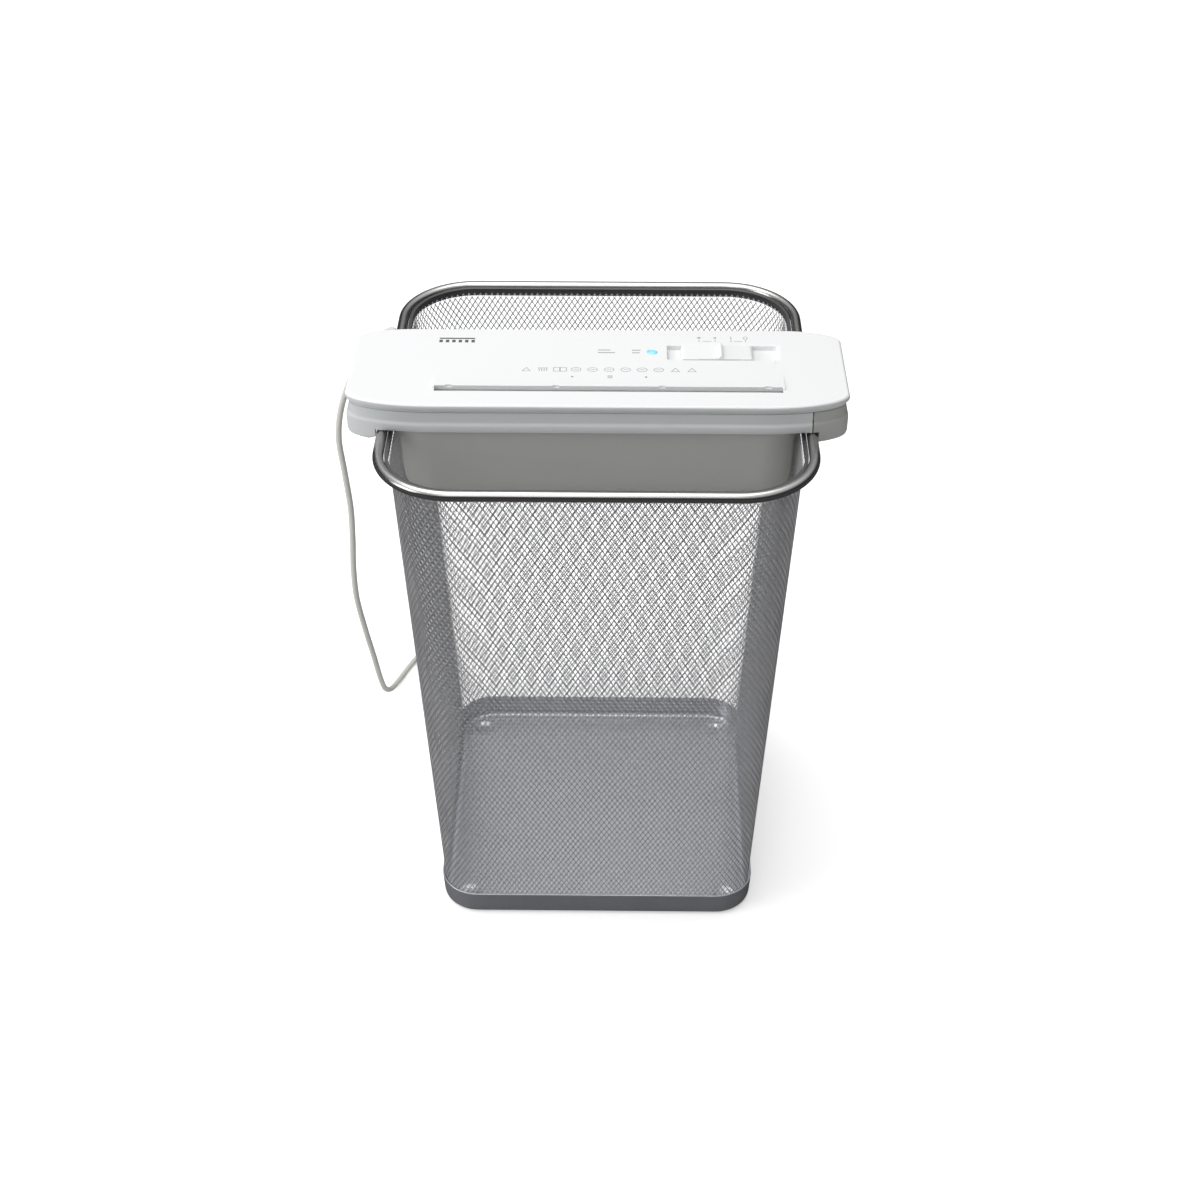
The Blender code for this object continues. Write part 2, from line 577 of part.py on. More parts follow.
def electrics():
    """Circuit board with the parts that stand on it."""
    block("circuit_board", 22.0, 116.0, -10.5, 16.0, 379.6, 381.2, "board")
    block("switch_body", 70.0, 88.0, -7.0, 4.0, 381.5, 394.2, "dark", 0.4)
    block("relay", 48.0, 64.0, -5.0, 13.0, 381.5, 391.0, "dark", 0.5)
    turned("capacitor", [(27.0, 0.0), (27.0, 4.6), (27.8, 5.2), (43.0, 5.2), (43.0, 0.0)],
           (0.0, 7.4, 386.8), "blue", seg=16)
    block("terminal_block", 97.0, 112.0, -8.0, 3.0, 381.5, 390.5, "nylon", 0.4)
    block("sensor_switch", 1.0, 13.0, -25.0, -16.0, 383.5, 392.0, "dark", 0.4)


def controls():
    """Slide switch knob, lamp and paper-sensing lever."""
    x0, x1, y0, y1 = KNOB
    prof = [(x0, 400.2), (x1, 400.2), (x1, 402.9), (x1 - 1.0, 403.5), (82.6, 403.9),
            (80.6, 404.2), (80.4, 406.0), (78.8, 406.0), (78.6, 404.2), (76.6, 403.9),
            (x0 + 1.0, 403.5), (x0, 402.9)]
    knob = add_object("switch_knob", prism_bmesh(prof, y0, y1, "Y"), "white")
    boolean(knob, [box_bmesh(75.0, 79.0, -3.6, 0.6, 394.6, 401.5)], "UNION")
    turned("lamp_lens", [(398.0, 0.0), (398.0, LAMP_R), (403.3, LAMP_R), (403.7, LAMP_R - 0.7),
                         (403.9, 0.0)], (LAMP[0], LAMP[1], 0.0), "blue", axis="Z", seg=24)
    x, y, z = LEVER
    shape = [(y + 2.4, z - 1.6), (y + 5.2, z + 0.2), (y + 5.0, z + 1.8), (y + 1.0, z + 2.6),
             (y - 2.4, z + 1.6), (y - 13.4, z - 4.0), (y - 13.9, z - 5.6), (y - 12.6, z - 6.0),
             (y - 2.0, z - 2.2)]
    lever = add_object("paper_lever", prism_bmesh(shape, x - 1.5, x + 1.5), "dark",
                       origin=(x, y, z))
    boolean(lever, [x_hole(y, z, 1.3, x - 4.0, x + 4.0, 12)])
    turned("lever_axle", rod_profile(x - 9.0, x + 9.0, 0.95), (0.0, y, z), "steel", seg=10)


def screws():
    """Fixing screws under the tub."""
    for k, (x, y) in enumerate(SCREWS, start=1):
        turned("housing_screw_%d" % k,
               [(329.6, 0.0), (329.6, 2.4), (330.4, 3.1), (331.6, 3.1), (331.6, 1.5),
                (337.0, 1.5), (337.0, 0.0)], (x, y, 0.0), "steel", axis="Z", seg=12)


# ---- mains lead -----------------------------------------------------------------------------
def catmull(points, per_span):
    """Smooth curve through the given points."""
    pts = [Vector(p) for p in points]
    ext = [2 * pts[0] - pts[1]] + pts + [2 * pts[-1] - pts[-2]]
    out = []
    for i in range(1, len(ext) - 2):
        p0, p1, p2, p3 = ext[i - 1:i + 3]
        t = [0.0]
        for a, b in ((p0, p1), (p1, p2), (p2, p3)):
            t.append(t[-1] + math.sqrt((b - a).length))
        for k in range(per_span):
            s = t[1] + (t[2] - t[1]) * k / per_span
            a1 = p0 * ((t[1] - s) / (t[1] - t[0])) + p1 * ((s - t[0]) / (t[1] - t[0]))
            a2 = p1 * ((t[2] - s) / (t[2] - t[1])) + p2 * ((s - t[1]) / (t[2] - t[1]))
            a3 = p2 * ((t[3] - s) / (t[3] - t[2])) + p3 * ((s - t[2]) / (t[3] - t[2]))
            b1 = a1 * ((t[2] - s) / (t[2] - t[0])) + a2 * ((s - t[0]) / (t[2] - t[0]))
            b2 = a2 * ((t[3] - s) / (t[3] - t[1])) + a3 * ((s - t[1]) / (t[3] - t[1]))
            out.append(b1 * ((t[2] - s) / (t[2] - t[1])) + b2 * ((s - t[1]) / (t[2] - t[1])))
    out.append(pts[-1])
    return out


def even_points(points, count):
    """Points at equal distances along a polyline."""
    dist = [0.0]
    for a, b in zip(points, points[1:]):
        dist.append(dist[-1] + (b - a).length)
    out, k = [], 0
    for i in range(count):
        s = dist[-1] * i / (count - 1)
        while k < len(points) - 2 and dist[k + 1] < s:
            k += 1
        t = (s - dist[k]) / max(dist[k + 1] - dist[k], 1e-9)
        out.append(points[k].lerp(points[k + 1], min(max(t, 0.0), 1.0)))
    return out


def cord_tube(name, points, count):
    """Bevelled poly curve along a route."""
    pts = even_points(catmull(points, 12), count)
    curve = bpy.data.curves.new(name, "CURVE")
    curve.dimensions = "3D"
    curve.bevel_depth = CORD_R * MM
    curve.bevel_resolution = 2
    curve.use_fill_caps = True
    spline = curve.splines.new("POLY")
    spline.points.add(len(pts) - 1)
    for p, q in zip(spline.points, pts):
        p.co = (q.x * MM, q.y * MM, q.z * MM, 1.0)
    obj = bpy.data.objects.new(name, curve)
    bpy.context.collection.objects.link(obj)
    curve.materials.append(material_for(name, "cord"))
    return obj


def laid(u, v, z):
    """Point beside the hank's middle line: u across it, v along it, z up."""
    a = math.radians(HANK_TURN)
    return (HANK_C[0] + u * math.cos(a) - v * math.sin(a),
            HANK_C[1] + u * math.sin(a) + v * math.cos(a), z)


def hank_loop(r, z, per=12):
    """Closed loop of the hank with end radius r, drawn in at the waist where it is tied."""
    half = HANK_RUN / 2.0
    pts = []
    for side in (-1, 1):                       # left run and far end, then right run and near end
        for k in range(per):
            v = half * (2.0 * k / per - 1.0)
            waist = HANK_WAIST * math.cos(math.pi * v / HANK_RUN) ** 2
            pts.append(laid(side * (r - waist), -side * v, z))
        for k in range(per):
            a = math.pi * k / per
            pts.append(laid(side * r * math.cos(a), -side * (half + r * math.sin(a)), z))
    return pts


def plug_ring(v, hu, hz, r, mid=0.0, steps=4):
    """Rounded rectangle across the plug's axis."""
    pts = []
    for su, sz, start in ((1, 1, 0), (-1, 1, 90), (-1, -1, 180), (1, -1, 270)):
        for k in range(steps + 1):
            a = math.radians(start + 90.0 * k / steps)
            pts.append(laid(mid + su * (hu - r) + r * math.cos(a), v,
                            PLUG_Z + sz * (hz - r) + r * math.sin(a)))
    return pts


def mains_lead():
    """Strain relief, free lead, tied hank on the floor, short tail and flat plug."""
    gx, gz = GLAND
    turned("strain_relief", [(22.0, 0.0), (22.0, 3.9), (29.4, 3.9), (29.4, 5.2), (31.0, 5.2),
                             (31.0, 3.9), (44.0, 2.9), (44.0, 0.0)], (gx, 0.0, gz), "cord",
           axis="Y", seg=16)
    floor = CORD_R + 0.3
    route = [(gx, 44.4, gz), (gx, 47.0, gz), (gx - 1.0, 54.2, gz - 1.0),
             (gx - 4.1, 60.9, gz - 4.0), (gx - 8.9, 65.0, gz - 8.5), (gx - 14.8, 66.6, gz - 14.4),
             (-162.9, 66.3, 362.0), (-172.6, 65.2, 344.0), (-181.2, 63.8, 321.0),
             (-184.9, 63.0, 297.5), (-183.3, 64.2, 267.5), (-181.7, 67.0, 234.5),
             (-182.9, 71.0, 205.0), (-185.5, 77.0, 170.0), (-186.0, 83.0, 140.0),
             (-183.0, 91.0, 104.0), (-179.5, 101.0, 68.0), (-177.6, 110.5, 40.0),
             (-176.0, 122.0, 19.0), (-173.2, 136.0, 7.4), (-168.8, 152.0, floor + 0.6),
             (-162.6, 169.5, floor), (-158.8, 178.4, floor)]
    cord_tube("cord_lead", route, 76)
    r_out, r_in = HANK_R + CORD_R, HANK_R - CORD_R
    loft("cord_coil", [hank_loop(r_out, 0.25), hank_loop(r_out, HANK_H),
                       hank_loop(r_in, HANK_H), hank_loop(r_in, 0.25)], "cord", closed=True)
    end, high = HANK_RUN / 2.0, HANK_H - CORD_R - 0.2
    cord_tube("cord_tail", [laid(-13.3, end + 13.0, high - 1.1), laid(-12.2, end + 19.0, high - 3.1),
                            laid(-8.8, end + 28.0, high - 7.4), laid(-4.4, end + 37.0, high - 11.2),
                            laid(-1.1, end + 45.5, PLUG_Z + 0.3), laid(0.0, end + 52.0, PLUG_Z),
                            laid(0.0, end + 55.0, PLUG_Z)], 14)
    v0 = end + 55.0 + GAP
    loft("plug_body", [plug_ring(v0 + dv, hu, hz, r) for dv, hu, hz, r in (
        (0.0, 3.6, 3.6, 3.5), (6.0, 4.4, 4.4, 4.2), (11.0, 8.0, 5.4, 4.4),
        (16.0, 13.5, 6.2, 4.4), (20.0, PLUG_HU - 0.4, PLUG_HZ, 4.4),
        (34.0, PLUG_HU, PLUG_HZ, 4.4), (35.4, PLUG_HU - 1.2, PLUG_HZ - 1.2, 3.4))], "cord")
    for label, side in (("a", -1), ("b", 1)):
        loft("plug_pin_" + label, [plug_ring(v0 + dv, r, r, r * 0.999, side * 9.2, 3) for dv, r in (
            (35.7, 2.0), (53.9, 2.0), (54.7, 1.2))], "steel")


def main():
    """Clear the scene and build every piece."""
    for obj in list(bpy.data.objects):
        bpy.data.objects.remove(obj, do_unlink=True)
    basket()
    lower_housing()
    top_cover()
    extension_arm()
    cutter("cutter_front", FRONT_Y, -101.6, -110.4)
    cutter("cutter_rear", REAR_Y, -95.6, -116.1)
    stripper("stripper_front", -63.4, FRONT_Y - HUB_R - 0.8, -101.6, 107.0)
    stripper("stripper_rear", -13.0, REAR_Y + HUB_R + 0.8, -95.6, 116.8)
    plates()
    gear_train()
    throat()
    motor()
    electrics()
    controls()
    screws()
    mains_lead()


main()
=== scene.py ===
"""Looks of a strip-cut paper shredder that rests across a square wire-mesh waste basket.

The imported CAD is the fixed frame. The classes below build the basket's diamond mesh, rim and
pan, the head's cover, skirt and pull-out end, the printed marks, the switch, the lamp and the
mains lead, and dress every piece in a procedural finish. Sizes are in millimetres until a mesh
is made, and in metres after that.
"""

from __future__ import annotations

import json
import logging
import math
from dataclasses import dataclass, field
from enum import Enum
from typing import Callable, Iterable, Sequence

import bmesh
import bpy
from mathutils import Matrix, Vector


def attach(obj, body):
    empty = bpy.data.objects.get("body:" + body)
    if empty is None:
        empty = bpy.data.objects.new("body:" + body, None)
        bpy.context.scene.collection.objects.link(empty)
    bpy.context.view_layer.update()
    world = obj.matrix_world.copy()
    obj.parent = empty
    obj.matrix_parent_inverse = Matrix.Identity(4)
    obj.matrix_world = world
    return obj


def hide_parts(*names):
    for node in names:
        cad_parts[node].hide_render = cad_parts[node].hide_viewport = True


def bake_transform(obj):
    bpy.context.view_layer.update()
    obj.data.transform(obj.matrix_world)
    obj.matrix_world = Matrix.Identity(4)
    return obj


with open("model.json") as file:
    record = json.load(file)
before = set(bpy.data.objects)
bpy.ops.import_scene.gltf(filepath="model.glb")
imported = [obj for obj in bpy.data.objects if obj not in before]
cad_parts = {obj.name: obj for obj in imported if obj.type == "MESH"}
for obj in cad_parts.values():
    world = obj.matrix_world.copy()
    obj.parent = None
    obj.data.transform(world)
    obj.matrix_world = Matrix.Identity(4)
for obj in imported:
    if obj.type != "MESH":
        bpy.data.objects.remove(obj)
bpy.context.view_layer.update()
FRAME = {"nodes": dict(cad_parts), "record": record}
LOG = logging.getLogger("shredder")
MM = 0.001
GAP = 0.3
Point = Sequence[float]
Ring = list[tuple[float, float, float]]


# ---- node trees ---------------------------------------------------------------------------
class Wiring:
    """Adds nodes to one tree, fills their inputs and links them."""

    def __init__(self, tree: bpy.types.NodeTree) -> None:
        """Start on an empty tree.

        Args:
            tree: the node tree that is written.
        """
        self.tree = tree
        tree.nodes.clear()

    def add(self, kind: str, inputs: dict | None = None, **settings) -> bpy.types.Node:
        """Add a node.

        Args:
            kind: the node's type name.
            inputs: socket name or index to a value, a socket or a node.
            **settings: the node's own properties.

        Returns:
            The new node.
        """
        node = self.tree.nodes.new(kind)
        for key, value in settings.items():
            setattr(node, key, value)
        for key, value in (inputs or {}).items():
            self.plug(value, node.inputs[key])
        return node

    def plug(self, value: object, socket: bpy.types.NodeSocket) -> None:
        """Link a socket or a node's first output to a socket, or set its value."""
        if isinstance(value, bpy.types.Node):
            value = value.outputs[0]
        if isinstance(value, bpy.types.NodeSocket):
            self.tree.links.new(value, socket)
        else:
            socket.default_value = value

    def math(self, operation: str, *values: object) -> bpy.types.NodeSocket:
        """Add a math node.

        Args:
            operation: the operation's name.
            *values: its one to three inputs.

        Returns:
            The result's socket.
        """
        return self.add("ShaderNodeMath", dict(enumerate(values)), operation=operation).outputs[0]

    def blend(self, low: object, high: object, share: object) -> bpy.types.NodeSocket:
        """A value that runs from low to high with share."""
        return self.math("MULTIPLY_ADD", self.math("SUBTRACT", high, low), share, low)


def group(name: str, sockets: Iterable[tuple[str, str, str, float | None]],
          kind: str = "ShaderNodeTree") -> tuple[Wiring, bpy.types.Node, bpy.types.Node]:
    """Start a node group with named sockets.

    Args:
        name: the group's name.
        sockets: rows of name, "INPUT" or "OUTPUT", socket kind, and default value.
        kind: the tree's type.

    Returns:
        The wiring, the group's input node and its output node.
    """
    tree = bpy.data.node_groups.new(name, kind)
    for label, way, sort, default in sockets:
        socket = tree.interface.new_socket(name=label, in_out=way, socket_type="NodeSocket" + sort)
        if default is not None:
            socket.default_value = default
    wiring = Wiring(tree)
    return wiring, wiring.add("NodeGroupInput"), wiring.add("NodeGroupOutput")


class Grain(Enum):
    """The fine pattern that a finish carries."""

    MOULDED = "moulded"      # spark-eroded tool texture on plastic
    SPRAYED = "sprayed"      # orange peel and fleck of a sprayed silver coat
    DRAWN = "drawn"          # fine lines along a drawn tube, on its own UV map
    BRUSHED = "brushed"      # crossways lines on turned and sheared steel
    SKIN = "skin"            # soft extruded PVC


GRAIN_SOCKETS = (("Height", "OUTPUT", "Float", None), ("Tone", "OUTPUT", "Float", None))


def grain_group(grain: Grain) -> bpy.types.NodeTree:
    """The group that draws one kind of grain, built once.

    Args:
        grain: which pattern.

    Returns:
        A group that gives Height and Tone, both from 0 to 1.
    """
    name = "grain_" + grain.value
    if name in bpy.data.node_groups:
        return bpy.data.node_groups[name]
    w, _, gout = group(name, GRAIN_SOCKETS)
    where = w.add("ShaderNodeTexCoord").outputs["UV" if grain is Grain.DRAWN else "Object"]
    stretch = {Grain.DRAWN: (6.0, 900.0, 1.0), Grain.BRUSHED: (140.0, 2600.0, 2600.0),
               Grain.SKIN: (500.0, 500.0, 500.0), Grain.SPRAYED: (1100.0, 1100.0, 1100.0),
               Grain.MOULDED: (2300.0, 2300.0, 2300.0)}[grain]
    spot = w.add("ShaderNodeVectorMath", {0: where, 1: stretch}, operation="MULTIPLY")
    fine = w.add("ShaderNodeTexNoise", {"Vector": spot, "Scale": 1.0, "Detail": 3.0,
                                        "Roughness": 0.6})
    broad = w.add("ShaderNodeTexNoise", {
        "Vector": w.add("ShaderNodeVectorMath", {0: where, 1: (31.0, 31.0, 31.0)},
                        operation="MULTIPLY"), "Scale": 1.0, "Detail": 4.0})
    height = fine.outputs[0]
    if grain is Grain.SPRAYED:
        fleck = w.add("ShaderNodeTexVoronoi", {"Vector": spot, "Scale": 1.3})
        height = w.math("MULTIPLY_ADD", fleck.outputs["Distance"], 0.35, height)
    w.plug(height, gout.inputs["Height"])
    w.plug(w.blend(broad.outputs[0], fine.outputs[0], 0.35), gout.inputs["Tone"])
    return w.tree


def wear_group() -> bpy.types.NodeTree:
    """The group that marks handled edges: Strength in, Mask out."""
    if "edge_wear" in bpy.data.node_groups:
        return bpy.data.node_groups["edge_wear"]
    w, gin, gout = group("edge_wear", (("Strength", "INPUT", "Float", 0.3),
                                       ("Mask", "OUTPUT", "Float", None)))
    sharp = w.add("ShaderNodeMapRange", {"Value": w.add("ShaderNodeNewGeometry").outputs["Pointiness"],
                                         "From Min": 0.52, "From Max": 0.62})
    patch = w.add("ShaderNodeTexNoise", {"Vector": w.add("ShaderNodeTexCoord").outputs["Object"],
                                         "Scale": 60.0, "Detail": 3.0})
    rubbed = w.math("MULTIPLY", sharp.outputs[0], patch.outputs[0])
    w.plug(w.math("MULTIPLY", rubbed, gin.outputs["Strength"]), gout.inputs["Mask"])
    return w.tree


def dust_group() -> bpy.types.NodeTree:
    """The group that marks dust on upward faces: Amount in, Mask out."""
    if "settled_dust" in bpy.data.node_groups:
        return bpy.data.node_groups["settled_dust"]
    w, gin, gout = group("settled_dust", (("Amount", "INPUT", "Float", 0.1),
                                          ("Mask", "OUTPUT", "Float", None)))
    up = w.add("ShaderNodeSeparateXYZ", {0: w.add("ShaderNodeNewGeometry").outputs["Normal"]})
    patch = w.add("ShaderNodeTexNoise", {"Vector": w.add("ShaderNodeTexCoord").outputs["Object"],
                                         "Scale": 38.0, "Detail": 5.0, "Roughness": 0.7})
    facing = w.math("MAXIMUM", up.outputs["Z"], 0.0)
    lying = w.math("MULTIPLY", facing, patch.outputs[0])
    w.plug(w.math("MULTIPLY", lying, gin.outputs["Amount"]), gout.inputs["Mask"])
    return w.tree


# ---- finishes -----------------------------------------------------------------------------
@dataclass(frozen=True)
class Finish:
    """A procedural finish: a base colour with grain, tone, edge wear and dust."""

    name: str
    colour: tuple[float, float, float]
    roughness: float
    metallic: float = 0.0
    grain: Grain = Grain.MOULDED
    depth: float = 0.02
    tone: float = 0.05
    spread: float = 0.08
    wear: float = 0.25
    dust: float = 0.05
    coat: float = 0.0
    transmission: float = 0.0
    anisotropy: float = 0.0
    glow: float = 0.0

    def material(self) -> bpy.types.Material:
        """The finish's material, built on first use."""
        if self.name in bpy.data.materials:
            return bpy.data.materials[self.name]
        made = bpy.data.materials.new(self.name)
        made.use_nodes = True
        w = Wiring(made.node_tree)
        shader = w.add("ShaderNodeBsdfPrincipled")
        w.plug(shader, w.add("ShaderNodeOutputMaterial").inputs["Surface"])
        grain = w.add("ShaderNodeGroup", node_tree=grain_group(self.grain))
        wear = w.add("ShaderNodeGroup", node_tree=wear_group())
        wear.inputs["Strength"].default_value = self.wear
        dust = w.add("ShaderNodeGroup", node_tree=dust_group())
        dust.inputs["Amount"].default_value = self.dust
        dark = tuple(c * (1.0 - self.tone) for c in self.colour) + (1.0,)
        light = tuple(min(1.0, c * (1.0 + self.tone)) for c in self.colour) + (1.0,)
        body = w.add("ShaderNodeMix", {"Factor": grain.outputs["Tone"]}, data_type="RGBA")
        body.inputs[6].default_value, body.inputs[7].default_value = dark, light
        rubbed = w.add("ShaderNodeMix", data_type="RGBA")
        w.plug(wear.outputs["Mask"], rubbed.inputs["Factor"])
        w.plug(body.outputs[2], rubbed.inputs[6])
        rubbed.inputs[7].default_value = tuple(min(1.0, c * 1.5 + 0.12) for c in self.colour) + (1.0,)
        dusty = w.add("ShaderNodeMix", data_type="RGBA")
        w.plug(dust.outputs["Mask"], dusty.inputs["Factor"])
        w.plug(rubbed.outputs[2], dusty.inputs[6])
        dusty.inputs[7].default_value = (0.52, 0.51, 0.49, 1.0)
        w.plug(dusty.outputs[2], shader.inputs["Base Color"])
        rough = w.math("MULTIPLY_ADD", grain.outputs["Tone"], self.spread,
                       self.roughness - self.spread * 0.5)
        rough = w.math("ADD", rough, w.math("MULTIPLY", dust.outputs["Mask"], 0.6))
        w.plug(rough, shader.inputs["Roughness"])
        bump = w.add("ShaderNodeBump", {"Strength": 0.35, "Distance": self.depth * MM,
                                        "Height": grain.outputs["Height"]})
        w.plug(bump, shader.inputs["Normal"])
        shader.inputs["Metallic"].default_value = self.metallic
        shader.inputs["Coat Weight"].default_value = self.coat
        shader.inputs["Coat Roughness"].default_value = 0.12
        shader.inputs["Transmission Weight"].default_value = self.transmission
        shader.inputs["Anisotropic"].default_value = self.anisotropy
        if self.glow:
            shader.inputs["Emission Color"].default_value = self.colour + (1.0,)
            shader.inputs["Emission Strength"].default_value = self.glow
        return made


WHITE = Finish("white_moulding", (0.80, 0.805, 0.81), 0.42, depth=0.05, tone=0.012, wear=0.0,
               dust=0.03)
GREY = Finish("grey_moulding", (0.55, 0.565, 0.57), 0.40, depth=0.05, tone=0.03, wear=0.05,
              dust=0.03)
TUB = Finish("tub_moulding", (0.385, 0.39, 0.37), 0.42, depth=0.06, tone=0.03, wear=0.05,
             dust=0.02)
MESH = Finish("silver_mesh_coat", (0.60, 0.60, 0.61), 0.32, 0.8, Grain.SPRAYED, depth=0.03,
              tone=0.06, wear=0.0, dust=0.02)
RIM = Finish("satin_rim_steel", (0.52, 0.515, 0.505), 0.22, 1.0, Grain.DRAWN, depth=0.012,
             tone=0.05, spread=0.12, wear=0.1, dust=0.03, anisotropy=0.4)
# The folded band's near-black colour is painted shade under the rim tube.
FOLD_PAINTED_SHADE = Finish("folded_rim_painted_shade", (0.11, 0.11, 0.115), 0.42, 0.8, Grain.BRUSHED, depth=0.02,
              tone=0.06, wear=0.1, dust=0.03)
PAN = Finish("sprayed_pan_coat", (0.64, 0.65, 0.69), 0.30, 0.82, Grain.SPRAYED, depth=0.06,
             tone=0.06, wear=0.2, dust=0.06, coat=0.25)
ZINC = Finish("zinc_plate", (0.60, 0.60, 0.61), 0.34, 1.0, Grain.BRUSHED, depth=0.02, wear=0.2)
CUTTER = Finish("oiled_cutter_steel", (0.33, 0.33, 0.34), 0.30, 1.0, Grain.BRUSHED, depth=0.03,
                wear=0.5, coat=0.3)
BRASS = Finish("sintered_brass", (0.60, 0.42, 0.17), 0.38, 1.0, Grain.SPRAYED, depth=0.03)
NYLON = Finish("natural_nylon", (0.74, 0.71, 0.60), 0.48, depth=0.05, tone=0.03)
DARK = Finish("black_moulding", (0.028, 0.029, 0.032), 0.45, depth=0.06, wear=0.15)
BOARD = Finish("green_board", (0.02, 0.13, 0.055), 0.35, depth=0.02, coat=0.4, tone=0.1)
SLEEVE = Finish("blue_sleeve", (0.05, 0.11, 0.38), 0.28, depth=0.02, coat=0.2)
LENS = Finish("blue_lens", (0.22, 0.62, 0.93), 0.18, depth=0.01, tone=0.02, wear=0.0, dust=0.0,
              coat=0.5, transmission=0.15, glow=0.35)
CORD = Finish("grey_cord_skin", (0.62, 0.62, 0.585), 0.46, grain=Grain.SKIN, depth=0.05,
              tone=0.03, wear=0.05, dust=0.06)
PIN = Finish("nickel_pins", (0.66, 0.63, 0.57), 0.24, 1.0, Grain.BRUSHED, depth=0.01)
INK = Finish("grey_ink", (0.30, 0.305, 0.31), 0.55, depth=0.01, tone=0.06, wear=0.0, dust=0.0)
DARK_INK = Finish("dark_ink", (0.085, 0.087, 0.09), 0.50, depth=0.01, wear=0.0, dust=0.0)

SLOT_FINISH = {
    "white_plastic": WHITE, "grey_plastic": GREY, "wire_mesh": MESH, "rim_steel": RIM,
    "pan_paint": PAN, "zinc_steel": ZINC, "cutter_steel": CUTTER, "brass": BRASS,
    "nylon": NYLON, "dark_plastic": DARK, "board_green": BOARD, "capacitor_blue": SLEEVE,
    "lamp_blue": LENS, "cord_pvc": CORD, "pin_metal": PIN,
}


# ---- mesh tools ---------------------------------------------------------------------------
def outline(x0: float, x1: float, y0: float, y1: float, front: Point, back: Point,
            z: float | Callable[[float], float], steps: int = 20) -> Ring:
    """Plan outline with elliptical corners.

    Args:
        x0, x1, y0, y1: the box that it fills.
        front, back: the (x, y) radii of the two front and the two back corners.
        z: its height, or a function of x that gives it.
        steps: spans in each corner.

    Returns:
        The points, anticlockwise from above.
    """
    points = []
    for cx, cy, (ax, ay), start in (
            (x1 - front[0], y0 + front[1], front, -90.0), (x1 - back[0], y1 - back[1], back, 0.0),
            (x0 + back[0], y1 - back[1], back, 90.0), (x0 + front[0], y0 + front[1], front, 180.0)):
        for k in range(steps + 1):
            a = math.radians(start + 90.0 * k / steps)
            x, y = cx + ax * math.cos(a), cy + ay * math.sin(a)
            points.append((x, y, z(x) if callable(z) else z))
    return points


def square(width: float, radius: float, z: float, steps: int = 20) -> Ring:
    """Rounded square about the basket's middle."""
    h, r = width / 2.0, (radius, radius)
    return outline(-h, h, -h, h, r, r, z, steps)


def skin(rings: Sequence[Ring], closed: bool = False) -> bmesh.types.BMesh:
    """Skin rings of equal point counts.

    Args:
        rings: the rings in order.
        closed: joins the last ring to the first; otherwise both ends are capped.

    Returns:
        The mesh, in millimetres.
    """
    bm = bmesh.new()
    rows = [[bm.verts.new(p) for p in ring] for ring in rings]
    n = len(rings[0])
    for k in range(len(rows) if closed else len(rows) - 1):
        a, b = rows[k], rows[(k + 1) % len(rows)]
        for i in range(n):
            bm.faces.new((a[i], a[(i + 1) % n], b[(i + 1) % n], b[i]))
    if not closed:
        bm.faces.new(rows[0])
        bm.faces.new(rows[-1])
    bmesh.ops.recalc_face_normals(bm, faces=bm.faces[:])
    return bm


def box(x0: float, x1: float, y0: float, y1: float, z0: float, z1: float,
        round_by: float = 0.0) -> bmesh.types.BMesh:
    """A block, with rounded edges when round_by is given."""
    ring = ((x0, y0), (x1, y0), (x1, y1), (x0, y1))
    bm = skin([[(x, y, z0) for x, y in ring], [(x, y, z1) for x, y in ring]])
    if round_by:
        bmesh.ops.bevel(bm, geom=bm.edges[:], offset=round_by, segments=4, profile=0.5,
                        affect="EDGES", clamp_overlap=True)
    return bm


def turned(profile: Sequence[tuple[float, float]], centre: Point, axis: str,
           steps: int = 40) -> bmesh.types.BMesh:
    """A turned solid.

    Args:
        profile: (position along the axis, radius) from end to end, on the axis at both ends.
        centre: a point on the axis; its own coordinate along the axis is added.
        axis: "X", "Y" or "Z".
        steps: sides.

    Returns:
        The closed mesh, in millimetres.
    """
    def corner(s: float, r: float, a: float) -> tuple[float, float, float]:
        """One point of the solid."""
        u, v = r * math.cos(a), r * math.sin(a)
        x, y, z = {"X": (s, u, v), "Y": (v, s, u), "Z": (u, v, s)}[axis]
        return centre[0] + x, centre[1] + y, centre[2] + z

    bm = bmesh.new()
    rows = []
    for s, r in profile:
        if r < 1e-6:
            rows.append([bm.verts.new(corner(s, 0.0, 0.0))])
        else:
            rows.append([bm.verts.new(corner(s, r, math.tau * k / steps)) for k in range(steps)])
    for a, b in zip(rows, rows[1:]):
        for i in range(steps):
            corners = [a[i % len(a)], a[(i + 1) % len(a)], b[(i + 1) % len(b)], b[i % len(b)]]
            unique = list(dict.fromkeys(corners))
            if len(unique) > 2:
                bm.faces.new(unique)
    bmesh.ops.recalc_face_normals(bm, faces=bm.faces[:])
    return bm


def prism(points: Sequence[tuple[float, float]], low: float, high: float,
          axis: str = "X") -> bmesh.types.BMesh:
    """A profile in the other two axes, carried along one axis from low to high."""
    def corner(s: float, p: tuple[float, float]) -> tuple[float, float, float]:
        """One point of the prism."""
        return {"X": (s, p[0], p[1]), "Y": (p[0], s, p[1]), "Z": (p[0], p[1], s)}[axis]
    return skin([[corner(low, p) for p in points], [corner(high, p) for p in points]])


